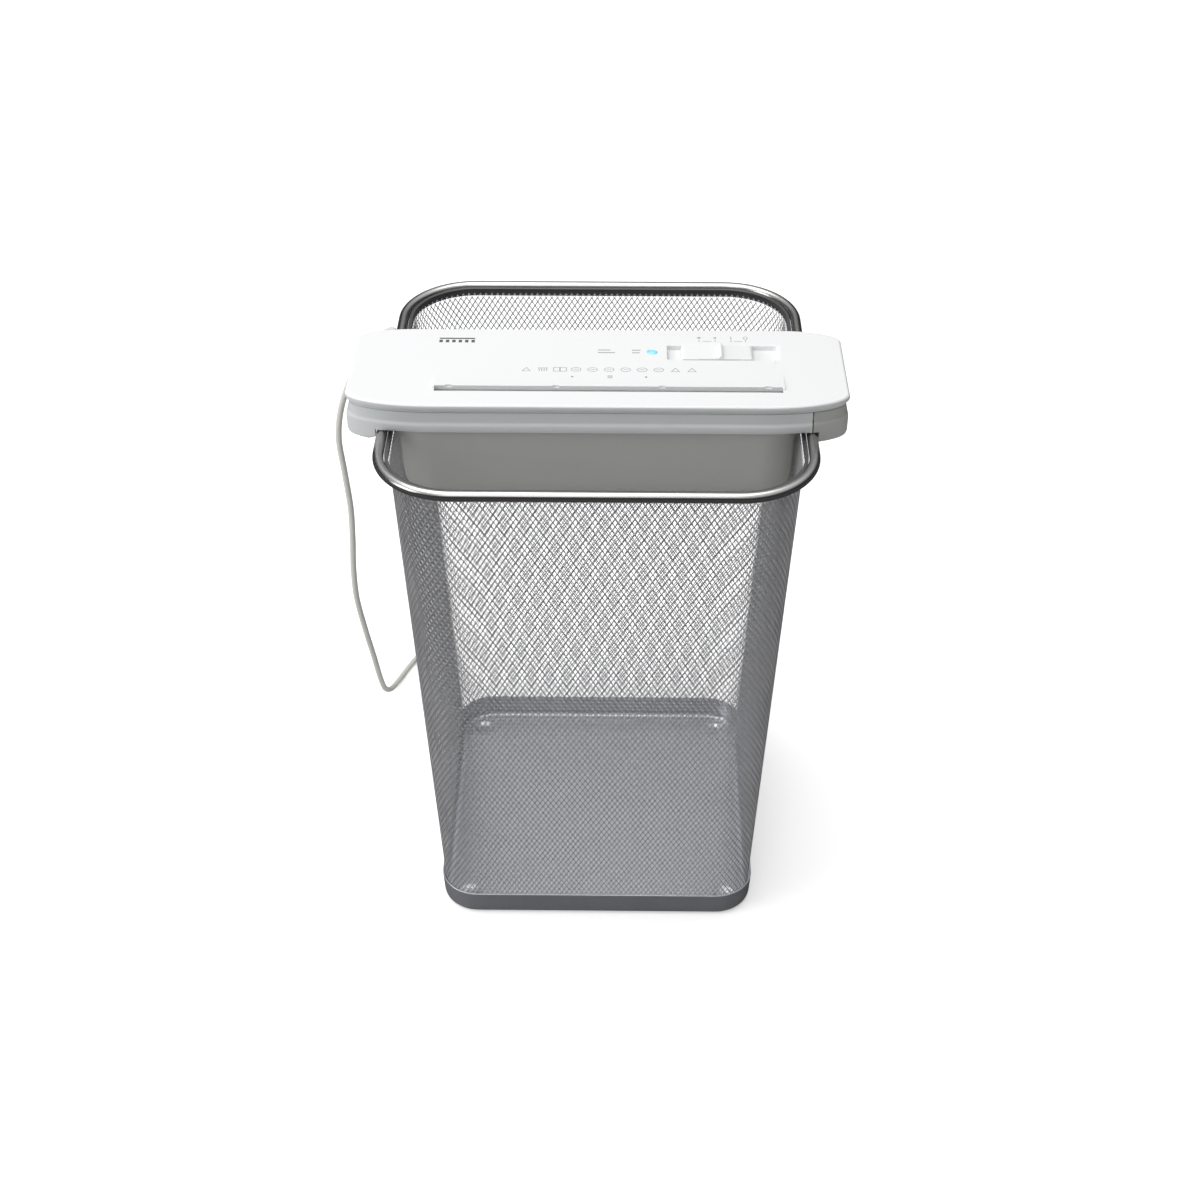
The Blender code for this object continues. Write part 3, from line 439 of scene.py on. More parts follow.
def piece(name: str, bm: bmesh.types.BMesh, finish: Finish, sharp: float = 32.0,
          weighted: bool = False) -> bpy.types.Object:
    """Turn a mesh in millimetres into an object at the origin, smooth up to an angle.

    Args:
        name: the piece's name.
        bm: its mesh, which is used up.
        finish: what it is dressed in.
        sharp: edges that turn more than this many degrees stay sharp.
        weighted: lets large faces rule the shading.

    Returns:
        The object.
    """
    bm.transform(Matrix.Scale(MM, 4))
    for face in bm.faces:
        face.smooth = True
    limit = math.radians(sharp)
    for edge in bm.edges:
        edge.smooth = len(edge.link_faces) == 2 and edge.calc_face_angle(0.0) < limit
    mesh = bpy.data.meshes.new(name)
    bm.to_mesh(mesh)
    bm.free()
    mesh.materials.append(finish.material())
    obj = bpy.data.objects.new(name, mesh)
    bpy.context.scene.collection.objects.link(obj)
    if weighted:
        obj.modifiers.new("flat_faces_lead", "WEIGHTED_NORMAL").keep_sharp = True
    return obj


def dress_faces(obj: bpy.types.Object, finish: Finish,
                chosen: Callable[[Vector, Vector], bool]) -> bpy.types.Object:
    """Give some faces of a piece a second finish.

    Args:
        obj: the piece.
        finish: the second finish.
        chosen: whether a face takes it, from its middle in millimetres and its normal.

    Returns:
        The piece.
    """
    obj.data.materials.append(finish.material())
    for face in obj.data.polygons:
        if chosen(face.center / MM, face.normal):
            face.material_index = 1
    return obj


def carve(bm: bmesh.types.BMesh, others: Iterable[bmesh.types.BMesh],
          operation: str = "DIFFERENCE") -> bmesh.types.BMesh:
    """Cut or join closed meshes exactly.

    Args:
        bm: the body, in millimetres, which is used up.
        others: the tools, which are used up.
        operation: "DIFFERENCE" or "UNION".

    Returns:
        The result, in millimetres.
    """
    def holder(source: bmesh.types.BMesh, name: str) -> bpy.types.Object:
        """An object that holds a triangulated mesh."""
        bmesh.ops.triangulate(source, faces=[f for f in source.faces if len(f.verts) > 4])
        mesh = bpy.data.meshes.new(name)
        source.to_mesh(mesh)
        source.free()
        obj = bpy.data.objects.new(name, mesh)
        bpy.context.scene.collection.objects.link(obj)
        return obj

    body = holder(bm, "carve_body")
    tools = [holder(other, "carve_tool") for other in others]
    for tool in tools:
        mod = body.modifiers.new("carve", "BOOLEAN")
        mod.operation, mod.solver, mod.object = operation, "EXACT", tool
    graph = bpy.context.evaluated_depsgraph_get()
    mesh = bpy.data.meshes.new_from_object(body.evaluated_get(graph))
    out = bmesh.new()
    out.from_mesh(mesh)
    bmesh.ops.remove_doubles(out, verts=out.verts[:], dist=1e-4)
    bmesh.ops.dissolve_degenerate(out, dist=1e-4, edges=out.edges[:])
    for obj in [body, *tools]:
        bpy.data.objects.remove(obj)
    return out


def smooth_line(points: Sequence[Point], per_span: int = 12) -> list[Vector]:
    """Centripetal curve through the given points."""
    pts = [Vector(p) for p in points]
    ext = [2 * pts[0] - pts[1]] + pts + [2 * pts[-1] - pts[-2]]
    out = []
    for i in range(1, len(ext) - 2):
        p0, p1, p2, p3 = ext[i - 1:i + 3]
        t = [0.0]
        for a, b in ((p0, p1), (p1, p2), (p2, p3)):
            t.append(t[-1] + math.sqrt((b - a).length))
        for k in range(per_span):
            s = t[1] + (t[2] - t[1]) * k / per_span
            a1 = p0.lerp(p1, (s - t[0]) / (t[1] - t[0]))
            a2 = p1.lerp(p2, (s - t[1]) / (t[2] - t[1]))
            a3 = p2.lerp(p3, (s - t[2]) / (t[3] - t[2]))
            b1 = a1.lerp(a2, (s - t[0]) / (t[2] - t[0]))
            b2 = a2.lerp(a3, (s - t[1]) / (t[3] - t[1]))
            out.append(b1.lerp(b2, (s - t[1]) / (t[2] - t[1])))
    out.append(pts[-1])
    return out


def evenly(points: Sequence[Vector], step: float) -> list[Vector]:
    """Points at equal distances along a line, about a step apart."""
    dist = [0.0]
    for a, b in zip(points, points[1:]):
        dist.append(dist[-1] + (b - a).length)
    count, out, k = max(2, round(dist[-1] / step) + 1), [], 0
    for i in range(count):
        s = dist[-1] * i / (count - 1)
        while k < len(points) - 2 and dist[k + 1] < s:
            k += 1
        share = (s - dist[k]) / max(dist[k + 1] - dist[k], 1e-9)
        out.append(points[k].lerp(points[k + 1], min(max(share, 0.0), 1.0)))
    return out


def tube(line: Sequence[Vector], radius: float, sides: int, closed: bool) -> bmesh.types.BMesh:
    """A round tube along a line, with a UV map in metres along it and once round it.

    Args:
        line: its centre, in millimetres.
        radius: its radius.
        sides: sides of its section.
        closed: the line's end runs back into its start.

    Returns:
        The mesh.
    """
    bm = bmesh.new()
    uv = bm.loops.layers.uv.new("surface")
    n = len(line)
    heading = [(line[(i + 1) % n] - line[i - 1]) if closed else
               (line[min(i + 1, n - 1)] - line[max(i - 1, 0)]) for i in range(n)]
    side = Vector((0.0, 0.0, 1.0))
    if abs(heading[0].normalized().z) > 0.9:
        side = Vector((1.0, 0.0, 0.0))
    rows, along = [], [0.0]
    for i, (p, d) in enumerate(zip(line, heading)):
        d = d.normalized()
        side = (side - d * side.dot(d)).normalized()
        other = d.cross(side)
        rows.append([bm.verts.new(p + radius * (side * math.cos(a) + other * math.sin(a)))
                     for a in (math.tau * k / sides for k in range(sides))])
        if i:
            along.append(along[-1] + (p - line[i - 1]).length)
    along.append(along[-1] + (line[0] - line[-1]).length)
    for i in range(n if closed else n - 1):
        a, b = rows[i], rows[(i + 1) % n]
        for k in range(sides):
            face = bm.faces.new((a[k], a[(k + 1) % sides], b[(k + 1) % sides], b[k]))
            for loop, (s, v) in zip(face.loops, ((along[i], k), (along[i], k + 1),
                                                 (along[i + 1], k + 1), (along[i + 1], k))):
                loop[uv].uv = (s * MM, v / sides)
    if not closed:
        bm.faces.new(list(reversed(rows[0])))
        bm.faces.new(rows[-1])
    bmesh.ops.recalc_face_normals(bm, faces=bm.faces[:])
    return bm


def grown(name: str, tree: bpy.types.NodeTree, values: dict[str, object]) -> bpy.types.Object:
    """Run a geometry tree and keep its result as a plain mesh.

    Args:
        name: the piece's name.
        tree: the tree.
        values: its inputs by name.

    Returns:
        The piece, with no modifier left.
    """
    host = bpy.data.objects.new(name + "_host", bpy.data.meshes.new(name + "_host"))
    bpy.context.scene.collection.objects.link(host)
    mod = host.modifiers.new("grow", "NODES")
    mod.node_group = tree
    for item in tree.interface.items_tree:
        if item.item_type == "SOCKET" and item.in_out == "INPUT" and item.name in values:
            mod[item.identifier] = values[item.name]
    mesh = bpy.data.meshes.new_from_object(
        host.evaluated_get(bpy.context.evaluated_depsgraph_get()))
    mesh.name = name
    bpy.data.objects.remove(host)
    obj = bpy.data.objects.new(name, mesh)
    bpy.context.scene.collection.objects.link(obj)
    return obj


def place(obj: bpy.types.Object, body: str, *nodes: str, slot: str | None = None) -> bpy.types.Object:
    """Let a finished piece ride on a body and stand for CAD nodes.

    Args:
        obj: the piece.
        body: the CAD body.
        *nodes: the CAD nodes that it stands for.
        slot: the record's material slot; not used.

    Returns:
        The piece.
    """
    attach(obj, body)
    if nodes:
        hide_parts(*nodes)
    LOG.info("%s: %d faces, on %s", obj.name, len(obj.data.polygons), body)
    return obj


# ---- basket -------------------------------------------------------------------------------
def lattice_tree() -> bpy.types.NodeTree:
    """Geometry tree of one side of the diamond mesh.

    A ring of eight faces round one diamond hole is set on every point of two staggered grids
    and welded to its neighbours, so each strand has a ridged section. The flat sheet, which
    runs from -1 to 1 across and 0 to 1 up, is then wrapped on the tapered rounded square.

    Returns:
        The tree.
    """
    w, gin, gout = group("diamond_mesh", (
        ("Geometry", "OUTPUT", "Geometry", None), ("Geometry", "INPUT", "Geometry", None),
        ("Side", "INPUT", "Int", 0), ("Columns", "INPUT", "Int", 59), ("Rows", "INPUT", "Int", 58),
        ("Hole Share", "INPUT", "Float", 0.8), ("Thickness", "INPUT", "Float", 0.0005),
        ("Low Half Width", "INPUT", "Float", 0.1), ("Low Radius", "INPUT", "Float", 0.02),
        ("Low Height", "INPUT", "Float", 0.0), ("Top Half Width", "INPUT", "Float", 0.12),
        ("Top Radius", "INPUT", "Float", 0.04), ("Top Height", "INPUT", "Float", 0.37),
        ("Material", "INPUT", "Material", None)), "GeometryNodeTree")
    i = gin.outputs
    across, up = w.math("DIVIDE", 1.0, i["Columns"]), w.math("DIVIDE", 0.5, i["Rows"])
    cell = w.add("GeometryNodeMeshCylinder", {"Vertices": 4, "Side Segments": 2, "Radius": 1.0,
                                              "Depth": 1.0}, fill_type="NONE")
    at = w.add("ShaderNodeSeparateXYZ", {0: w.add("GeometryNodeInputPosition")})
    waist = w.math("LESS_THAN", w.math("ABSOLUTE", at.outputs["Z"]), 0.25)
    share = w.blend(1.0, i["Hole Share"], waist)
    formed = w.add("GeometryNodeSetPosition", {"Geometry": cell, "Position": w.add(
        "ShaderNodeCombineXYZ", {0: w.math("MULTIPLY", w.math("MULTIPLY", at.outputs["X"], share),
                                           across),
                                 1: w.math("MULTIPLY", w.math("MULTIPLY", at.outputs["Y"], share),
                                           up), 2: at.outputs["Z"]})})
    grids = []
    for shift, fewer in ((0.0, 0.0), (1.0, 1.0)):
        rows = w.math("SUBTRACT", i["Rows"], fewer)
        grid = w.add("GeometryNodeMeshGrid", {
            "Size X": w.math("SUBTRACT", 2.0, w.math("MULTIPLY", across, 2.0)),
            "Size Y": w.math("MULTIPLY", w.math("SUBTRACT", rows, 1.0),
                             w.math("MULTIPLY", up, 2.0)),
            "Vertices X": i["Columns"], "Vertices Y": rows})
        grids.append(w.add("GeometryNodeSetPosition", {"Geometry": grid.outputs["Mesh"],
                     "Offset": w.add("ShaderNodeCombineXYZ", {
                         0: w.math("MULTIPLY", across, -shift), 1: 0.5, 2: 0.0})}))
    points = w.add("GeometryNodeJoinGeometry")
    for grid in reversed(grids):
        w.plug(grid, points.inputs[0])
    set_out = w.add("GeometryNodeInstanceOnPoints", {"Points": points, "Instance": formed})
    loose = w.add("GeometryNodeRealizeInstances", {"Geometry": set_out})
    sheet = w.add("GeometryNodeMergeByDistance", {"Geometry": loose, "Distance": 0.0002})
    rim = w.add("FunctionNodeCompare", data_type="INT", operation="EQUAL")
    w.plug(w.add("GeometryNodeInputMeshEdgeNeighbors"), rim.inputs[2])
    rim.inputs[3].default_value = 1
    back = w.add("ShaderNodeSeparateXYZ", {0: w.add("GeometryNodeInputPosition")})
    shut = w.add("GeometryNodeExtrudeMesh", {
        "Mesh": sheet, "Selection": rim, "Offset": w.add(
            "ShaderNodeCombineXYZ", {2: w.math("MULTIPLY", back.outputs["Z"], -1.0)}),
        "Offset Scale": 1.0}, mode="EDGES")
    welded = w.add("GeometryNodeMergeByDistance", {"Geometry": shut.outputs["Mesh"],
                                                   "Distance": 0.0002})
    flat = w.add("ShaderNodeSeparateXYZ", {0: w.add("GeometryNodeInputPosition")})
    level = flat.outputs["Y"]
    half = w.blend(i["Low Half Width"], i["Top Half Width"], level)
    radius = w.blend(i["Low Radius"], i["Top Radius"], level)
    run = w.math("SUBTRACT", half, radius)
    length = w.math("MULTIPLY_ADD", radius, math.pi / 4.0, run)
    along = w.math("MULTIPLY", flat.outputs["X"], length)
    reach = w.math("ABSOLUTE", along)
    turn = w.math("DIVIDE", w.math("MAXIMUM", w.math("SUBTRACT", reach, run), 0.0), radius)
    out = w.math("MULTIPLY_ADD", flat.outputs["Z"], i["Thickness"], radius)
    px = w.math("MULTIPLY", w.math("SIGN", along), w.math(
        "MULTIPLY_ADD", out, w.math("SINE", turn), w.math("MINIMUM", reach, run)))
    py = w.math("MULTIPLY", w.math("MULTIPLY_ADD", out, w.math("COSINE", turn), run), -1.0)
    pz = w.blend(i["Low Height"], i["Top Height"], level)
    spun = w.add("ShaderNodeVectorRotate", {
        "Vector": w.add("ShaderNodeCombineXYZ", {0: px, 1: py, 2: pz}),
        "Angle": w.math("MULTIPLY", i["Side"], math.pi / 2.0)}, rotation_type="Z_AXIS")
    wrapped = w.add("GeometryNodeSetPosition", {"Geometry": welded, "Position": spun})
    smooth = w.add("GeometryNodeSetShadeSmooth", {"Geometry": wrapped})
    real = w.add("GeometryNodeRealizeInstances", {"Geometry": smooth})
    w.plug(w.add("GeometryNodeSetMaterial", {"Geometry": real, "Material": i["Material"]}),
           gout.inputs[0])
    return w.tree


@dataclass
class Basket:
    """Square tapered basket: diamond mesh, tube rim, holding band and pressed pan."""

    rim_width: float = 271.4
    rim_radius: float = 48.2
    rim_height: float = 379.2
    tube_radius: float = 3.5
    base_width: float = 223.9
    base_radius: float = 26.0
    base_height: float = 19.6
    sheet: float = 1.0
    foot_at: float = 93.0
    columns: int = 59
    rows: int = 58
    strand: float = 0.74
    strand_depth: float = 0.62
    wall_foot: float = 6.0
    mesh_low: float = 14.5
    mesh_top: float = 377.0
    mesh_inset: float = 6.45
    fold: tuple[float, float] = (375.0, 380.0)

    def wall_at(self, z: float) -> tuple[float, float]:
        """Half width and corner radius of the mesh's middle at a height."""
        share = (z - self.wall_foot) / (self.mesh_top - self.wall_foot)
        low = ((self.base_width - 2.0 * self.sheet - 1.8) / 2.0 - 0.4, self.base_radius - 2.6)
        top = (self.rim_width / 2.0 - self.mesh_inset - 0.4, self.rim_radius - self.mesh_inset - 0.4)
        return tuple(a + (b - a) * share for a, b in zip(low, top))

    def mesh(self) -> None:
        """Four sides of diamond mesh, welded strand to strand."""
        tree = lattice_tree()
        (low, low_r), (top, top_r) = self.wall_at(self.mesh_low), self.wall_at(self.mesh_top)
        a = (low + top - (1.0 - math.pi / 4.0) * (low_r + top_r)) / 2.0 / self.columns
        b = (self.mesh_top - self.mesh_low) / self.rows / 2.0
        hole = 1.0 - self.strand / 2.0 / (a * b / math.hypot(a, b))
        for side, label in enumerate(("front", "right", "rear", "left")):
            obj = grown("mesh_" + label, tree, {
                "Side": side, "Columns": self.columns, "Rows": self.rows, "Hole Share": hole,
                "Thickness": self.strand_depth * MM, "Low Half Width": low * MM,
                "Low Radius": low_r * MM, "Low Height": self.mesh_low * MM,
                "Top Half Width": top * MM, "Top Radius": top_r * MM,
                "Top Height": self.mesh_top * MM, "Material": MESH.material()})
            place(obj, "bin", "mesh_wall", slot="wire_mesh")

    def rim(self) -> None:
        """Tube rim and the folded band that holds the mesh inside it."""
        centre = [Vector(p) for p in square(self.rim_width, self.rim_radius, self.rim_height, 28)]
        line = evenly(centre + [centre[0]], 4.0)[:-1]
        place(piece("rim_ring", tube(line, self.tube_radius, 28, True), RIM, 80.0),
              "bin", "rim_tube", slot="rim_steel")
        inner = self.rim_width - 2.0 * self.mesh_inset + 0.7
        outer = self.rim_width - 2.0 * self.tube_radius - 0.7
        r_out, r_in = self.rim_radius - 3.9, self.rim_radius - 6.1
        low, high = self.fold
        rings = [square(wide, r, z, 24) for wide, r, z in (
            (outer - 0.6, r_out - 0.3, low - 0.4), (outer, r_out, low), (outer, r_out, high),
            (inner, r_in, high), (inner, r_in, low), (inner + 0.6, r_in + 0.3, low - 0.4))]
        # The band's near-black finish is painted shade beneath the tube.
        place(piece("rim_fold", skin(rings, True), FOLD_PAINTED_SHADE, 40.0), "bin", "rim_band",
              slot="rim_steel")

    def pan(self) -> None:
        """Pressed pan with a rolled lip and four dished feet."""
        w, r, h, t = self.base_width, self.base_radius, self.base_height, self.sheet
        top, hollow = w + 1.5, w - 2.0 * t
        outside = ((w - 7.0, -3.5, 1.5), (w - 4.2, -2.1, 1.62), (w - 2.4, -1.2, 2.1),
                   (w - 1.0, -0.5, 3.1), (w - 0.3, -0.15, 4.5), (w, 0.0, 6.5))
        lip = ((top - 0.2, 0.6, h - 2.2), (top, 0.7, h - 1.2), (top, 0.7, h - 0.5),
               (top - 0.35, 0.55, h - 0.1), (top - 1.0, 0.2, h), (top - 1.65, -0.1, h - 0.1),
               (top - 2.0 * t, -0.3, h - 0.6))
        inside = ((hollow, -1.0, 7.5), (hollow - 0.9, -1.4, 5.2), (hollow - 2.6, -2.2, 3.5),
                  (hollow - 5.2, -3.6, 2.7), (w - 13.0, -6.5, 2.5))
        rings = [square(wide, r + more, z) for wide, more, z in outside + lip + inside]
        feet, dishes = [], []
        for sx in (-1, 1):
            for sy in (-1, 1):
                at = (sx * self.foot_at, sy * self.foot_at, 0.0)
                feet.append(turned([(0.0, 0.0), (0.0, 4.4), (0.12, 5.2), (0.5, 6.2), (1.1, 7.0),
                                    (1.9, 7.6), (2.0, 7.6), (2.0, 0.0)], at, "Z", 36))
                dishes.append(turned([(1.0, 0.0), (1.0, 3.6), (1.12, 4.6), (1.45, 5.6),
                                      (1.9, 6.4), (2.3, 7.2), (2.47, 8.2), (3.2, 8.6), (3.2, 0.0)],
                                     at, "Z", 36))
        body = carve(carve(skin(rings), feet, "UNION"), dishes)
        place(piece("pressed_pan", body, PAN, 50.0, True), "bin", "base_pan", slot="pan_paint")

    def build(self) -> None:
        """Make and dress the whole basket."""
        self.mesh()
        self.rim()
        self.pan()


# ---- head ---------------------------------------------------------------------------------
LOWER_EDGE = ((0.1, 2.6), (0.4, 1.4), (0.9, 0.4), (1.6, 0.0))      # inset, height above the edge


@dataclass
class Head:
    """Housing of the cutting head: cover, skirt with tub, and the end that pulls out."""

    half: float = 159.0
    front: float = -70.5
    rear: float = 29.0
    front_arc: tuple[float, float] = (55.0, 18.0)
    rear_arc: tuple[float, float] = (38.0, 14.0)
    top: float = 403.3
    seam: float = 396.8
    skirt: float = 382.9
    wing: float = 375.0
    channel: float = 383.1
    channel_x: float = 139.7
    arm_x: float = 136.0
    slot: tuple[float, float, float, float] = (-102.8, 117.2, -52.2, -47.2)
    pocket: tuple[float, float, float, float] = (45.2, 116.9, -11.2, 7.6)
    lamp: tuple[float, float, float] = (35.4, -1.0, 3.0)
    tub: tuple[float, float, float] = (126.0, -66.5, 25.0)
    tub_floor: float = 332.0
    wall: float = 2.0
    gland: tuple[float, float] = (-138.0, 388.0)
    screws: tuple = ((-112.0, -44.0), (-112.0, 6.0), (0.0, 10.0), (108.0, 8.0))

    def ring(self, inset: float, z: float | Callable[[float], float]) -> Ring:
        """Outline of the head, drawn in by an inset."""
        return self.ring_to(self.half - inset, inset, z)

    def ring_to(self, x1: float, inset: float, z: float | Callable[[float], float]) -> Ring:
        """Outline of the head, drawn in by an inset, with its right end at x1."""
        front, rear = (tuple(r - inset for r in arc) for arc in (self.front_arc, self.rear_arc))
        return outline(-self.half + inset, x1, self.front + inset, self.rear - inset, front, rear,
                       z, 24)

    def tub_ring(self, inset: float, z: float | Callable[[float], float],
                 flare: float = 0.0) -> Ring:
        """Outline of the tub; a flare widens its two ends only."""
        hx, y0, y1 = self.tub
        ix = inset - flare
        return outline(-hx + ix, hx - ix, y0 + inset, y1 - inset, (22.0 - inset, 18.0 - inset),
                       (16.0 - inset, 14.0 - inset), z, 24)

    def under(self, rise: float = 0.0) -> Callable[[float], float]:
        """Height over the skirt's lower edge, which is level over the rim and lower outside it."""
        def height(x: float) -> float:
            """Height at x."""
            t = min(max((abs(x) - 131.0) / 14.0, 0.0), 1.0)
            return self.skirt + (self.wing - self.skirt) * t * t * (3.0 - 2.0 * t) + rise
        return height

    def skirt_rings(self) -> list[Ring]:
        """Outside of the skirt from the seam down to where its lower edge begins."""
        return [self.ring(inset, z) for inset, z in (
            (2.9, self.seam), (2.3, self.seam - 0.25), (2.05, self.seam - 0.8), (1.95, 395.0),
            (1.9, 390.6), (1.8, 390.0), (1.45, 389.45), (0.75, 389.0), (0.28, 388.55),
            (0.06, 387.8), (0.0, 386.8))]

    def surface(self, y: float) -> float:
        """Height of the cover's top at y, between the slot's two ends."""
        return self.top + min(max((-27.0 - y) / 19.6, 0.0), 1.0)

    def cover(self) -> None:
        """Lid with a soft edge, paper slot, raised lip, switch pocket and the lamp's hole; its outer
        sides take the grey finish as painted shade.
        """
        edge = []
        for k in range(7):
            a = math.radians(90.0 * k / 6)
            edge.append(self.ring(1.9 * (1.0 - math.cos(a)), self.top - 1.9 + 1.9 * math.sin(a)))
        rings = [self.ring(inset, z) for inset, z in (
            (3.6, self.top - 2.0), (3.6, 397.1), (2.4, 397.1), (2.2, 398.9), (1.6, 399.1),
            (0.7, 399.35), (0.2, 399.8), (0.0, 400.6))] + edge
        x0, x1, y0, y1 = self.slot
        lip = prism([(-27.0, self.top - 0.8), (-27.0, self.top), (-46.0, self.top + 0.98),
                     (-47.6, self.top + 1.0), (-48.6, self.top + 0.8), (-49.0, self.top + 0.3),
                     (-49.0, self.top - 0.8)], x0 - 1.2, x1 + 1.2)
        px0, px1, py0, py1 = self.pocket
        tray = box(px0 - 1.6, px1 + 1.6, py0 - 1.6, py1 + 1.6, 398.3, self.top - 1.0)
        body = carve(skin(rings), [lip, tray], "UNION")
        lx, ly, lr = self.lamp
        soft = skin([outline(px0 + d, px1 - d, py0 + d, py1 - d, (1.8 - d, 1.8 - d),
                             (1.8 - d, 1.8 - d), z, 8)
                     for d, z in ((0.9, 399.8), (0.25, 400.0), (0.0, 400.6), (0.0, 402.4),
                                  (-0.2, 402.95), (-0.8, 403.32), (-0.8, 410.0))])
        cuts = [box(x0, x1, y0, y1, 390.0, 410.0), soft, box(66.3, 95.7, -4.4, 1.4, 390.0, 401.0),
                turned([(390.0, 0.0), (390.0, lr + GAP), (402.9, lr + GAP),
                        (self.top + 0.1, lr + GAP + 0.5), (410.0, lr + GAP + 0.5), (410.0, 0.0)],
                       (lx, ly, 0.0), "Z", 32)]
        for x in (-94.0, -26.0, 41.0, 108.0):
            cuts.append(box(x - 1.9, x + 1.9, -48.4, -46.1, 403.0, 406.0))

        def painted_shade_side(at: Vector, normal: Vector) -> bool:
            """Whether a face is on the cover's outer side and turned away from the top, where grey is
            painted on the white lid as shade.
            """
            outside = (abs(at.x) > self.half - 20.0 or at.y < self.front + 8.0
                       or at.y > self.rear - 8.0)
            return outside and normal.z < 0.55

        # Grey on the white lid's outer sides is painted shade.
        made = piece("cover_shell", carve(body, cuts), WHITE, 40.0, True)
        place(dress_faces(made, GREY, painted_shade_side), "head", "top_cover", slot="white_plastic")

    def housing(self) -> None:
        """Skirt and tub in one moulding, with the bay for the end that pulls out."""
        outer = self.skirt_rings()
        outer += [self.ring(inset, self.under(rise)) for inset, rise in LOWER_EDGE]
        outer += [self.tub_ring(inset, self.under(rise), flare) for inset, rise, flare in (
            (-0.4, 0.0, 4.6), (-0.4, -0.6, 3.8), (-0.35, -1.4, 3.0), (-0.3, -2.6, 2.4),
            (-0.2, -4.6, 1.6), (-0.1, -8.0, 0.7))]
        outer += [self.tub_ring(inset, z) for inset, z in (
            (0.0, 367.5), (0.8, 345.0), (1.6, 339.5), (3.0, 336.0), (5.2, 333.4), (8.0, 332.2),
            (10.0, self.tub_floor))]
        body = skin(outer)
        x1 = self.arm_x - 0.4 - self.wall
        cavity = [self.ring_to(x1, 3.2, z) for z in (400.0, 386.2)]
        tub = [self.tub_ring(self.wall + inset, z) for inset, z in (
            (0.0, 386.2), (0.8, 345.0), (2.6, 337.8), (7.0, self.tub_floor + self.wall))]
        cuts = [skin(cavity + tub), box(self.arm_x - 0.7, 170.0, -90.0, 50.0, 360.0, 410.0),
                box(-100.0, 114.0, -53.0, -23.0, 325.0, 350.0),
                box(90.0, x1, -64.2, 23.0, 386.6, 399.0),
                turned([(20.0, 0.0), (20.0, 4.2), (40.0, 4.2), (40.0, 0.0)],
                       (self.gland[0], 0.0, self.gland[1]), "Y", 32)]
        for sx in (-1, 1):
            low, high = sorted((sx * 131.2, sx * self.channel_x))
            cuts.append(box(low, high, -90.0, 50.0, 360.0, self.channel))
        for y in (-61.0, 19.0):
            cuts.append(turned([(130.0, 0.0), (130.0, 2.5), (140.0, 2.5), (140.0, 0.0)],
                               (0.0, y, 390.5), "X", 24))
        for x, y in self.screws:
            cuts.append(turned([(330.0, 0.0), (330.0, 1.8), (336.0, 1.8), (336.0, 0.0)],
                               (x, y, 0.0), "Z", 24))

        def on_tub(at: Vector, _: Vector) -> bool:
            """Whether a face is below the skirt."""
            return at.z < self.skirt - 0.1 and abs(at.x) < self.tub[0] + 5.0

        made = piece("skirt_and_tub", carve(body, cuts), GREY, 40.0, True)
        place(dress_faces(made, TUB, on_tub), "head", "lower_housing", slot="grey_plastic")

    def arm(self) -> None:
        """Right end of the head, hollow where its two rods run."""
        rings = self.skirt_rings() + [self.ring(inset, self.wing + rise)
                                      for inset, rise in LOWER_EDGE]
        cuts = [box(-170.0, self.arm_x, -90.0, 50.0, 360.0, 410.0),
                box(130.0, self.channel_x, -90.0, 50.0, 360.0, self.channel),
                box(130.0, 142.0, -63.6, 23.6, 385.2, 394.4)]
        place(piece("pull_out_end", carve(skin(rings), cuts), TUB, 40.0, True), "arm",
              "extension_arm", slot="grey_plastic")

    def build(self) -> None:
        """Make and dress the three mouldings."""
        self.cover()
        self.housing()
        self.arm()


# ---- controls and printed marks -----------------------------------------------------------
class Mark(Enum):
    """Plain printed shapes."""

    RING = "ring"
    SHEET = "sheet"
    STRIPS = "strips"
    TRIANGLE = "triangle"
    DOT = "dot"
    STACK = "stack"


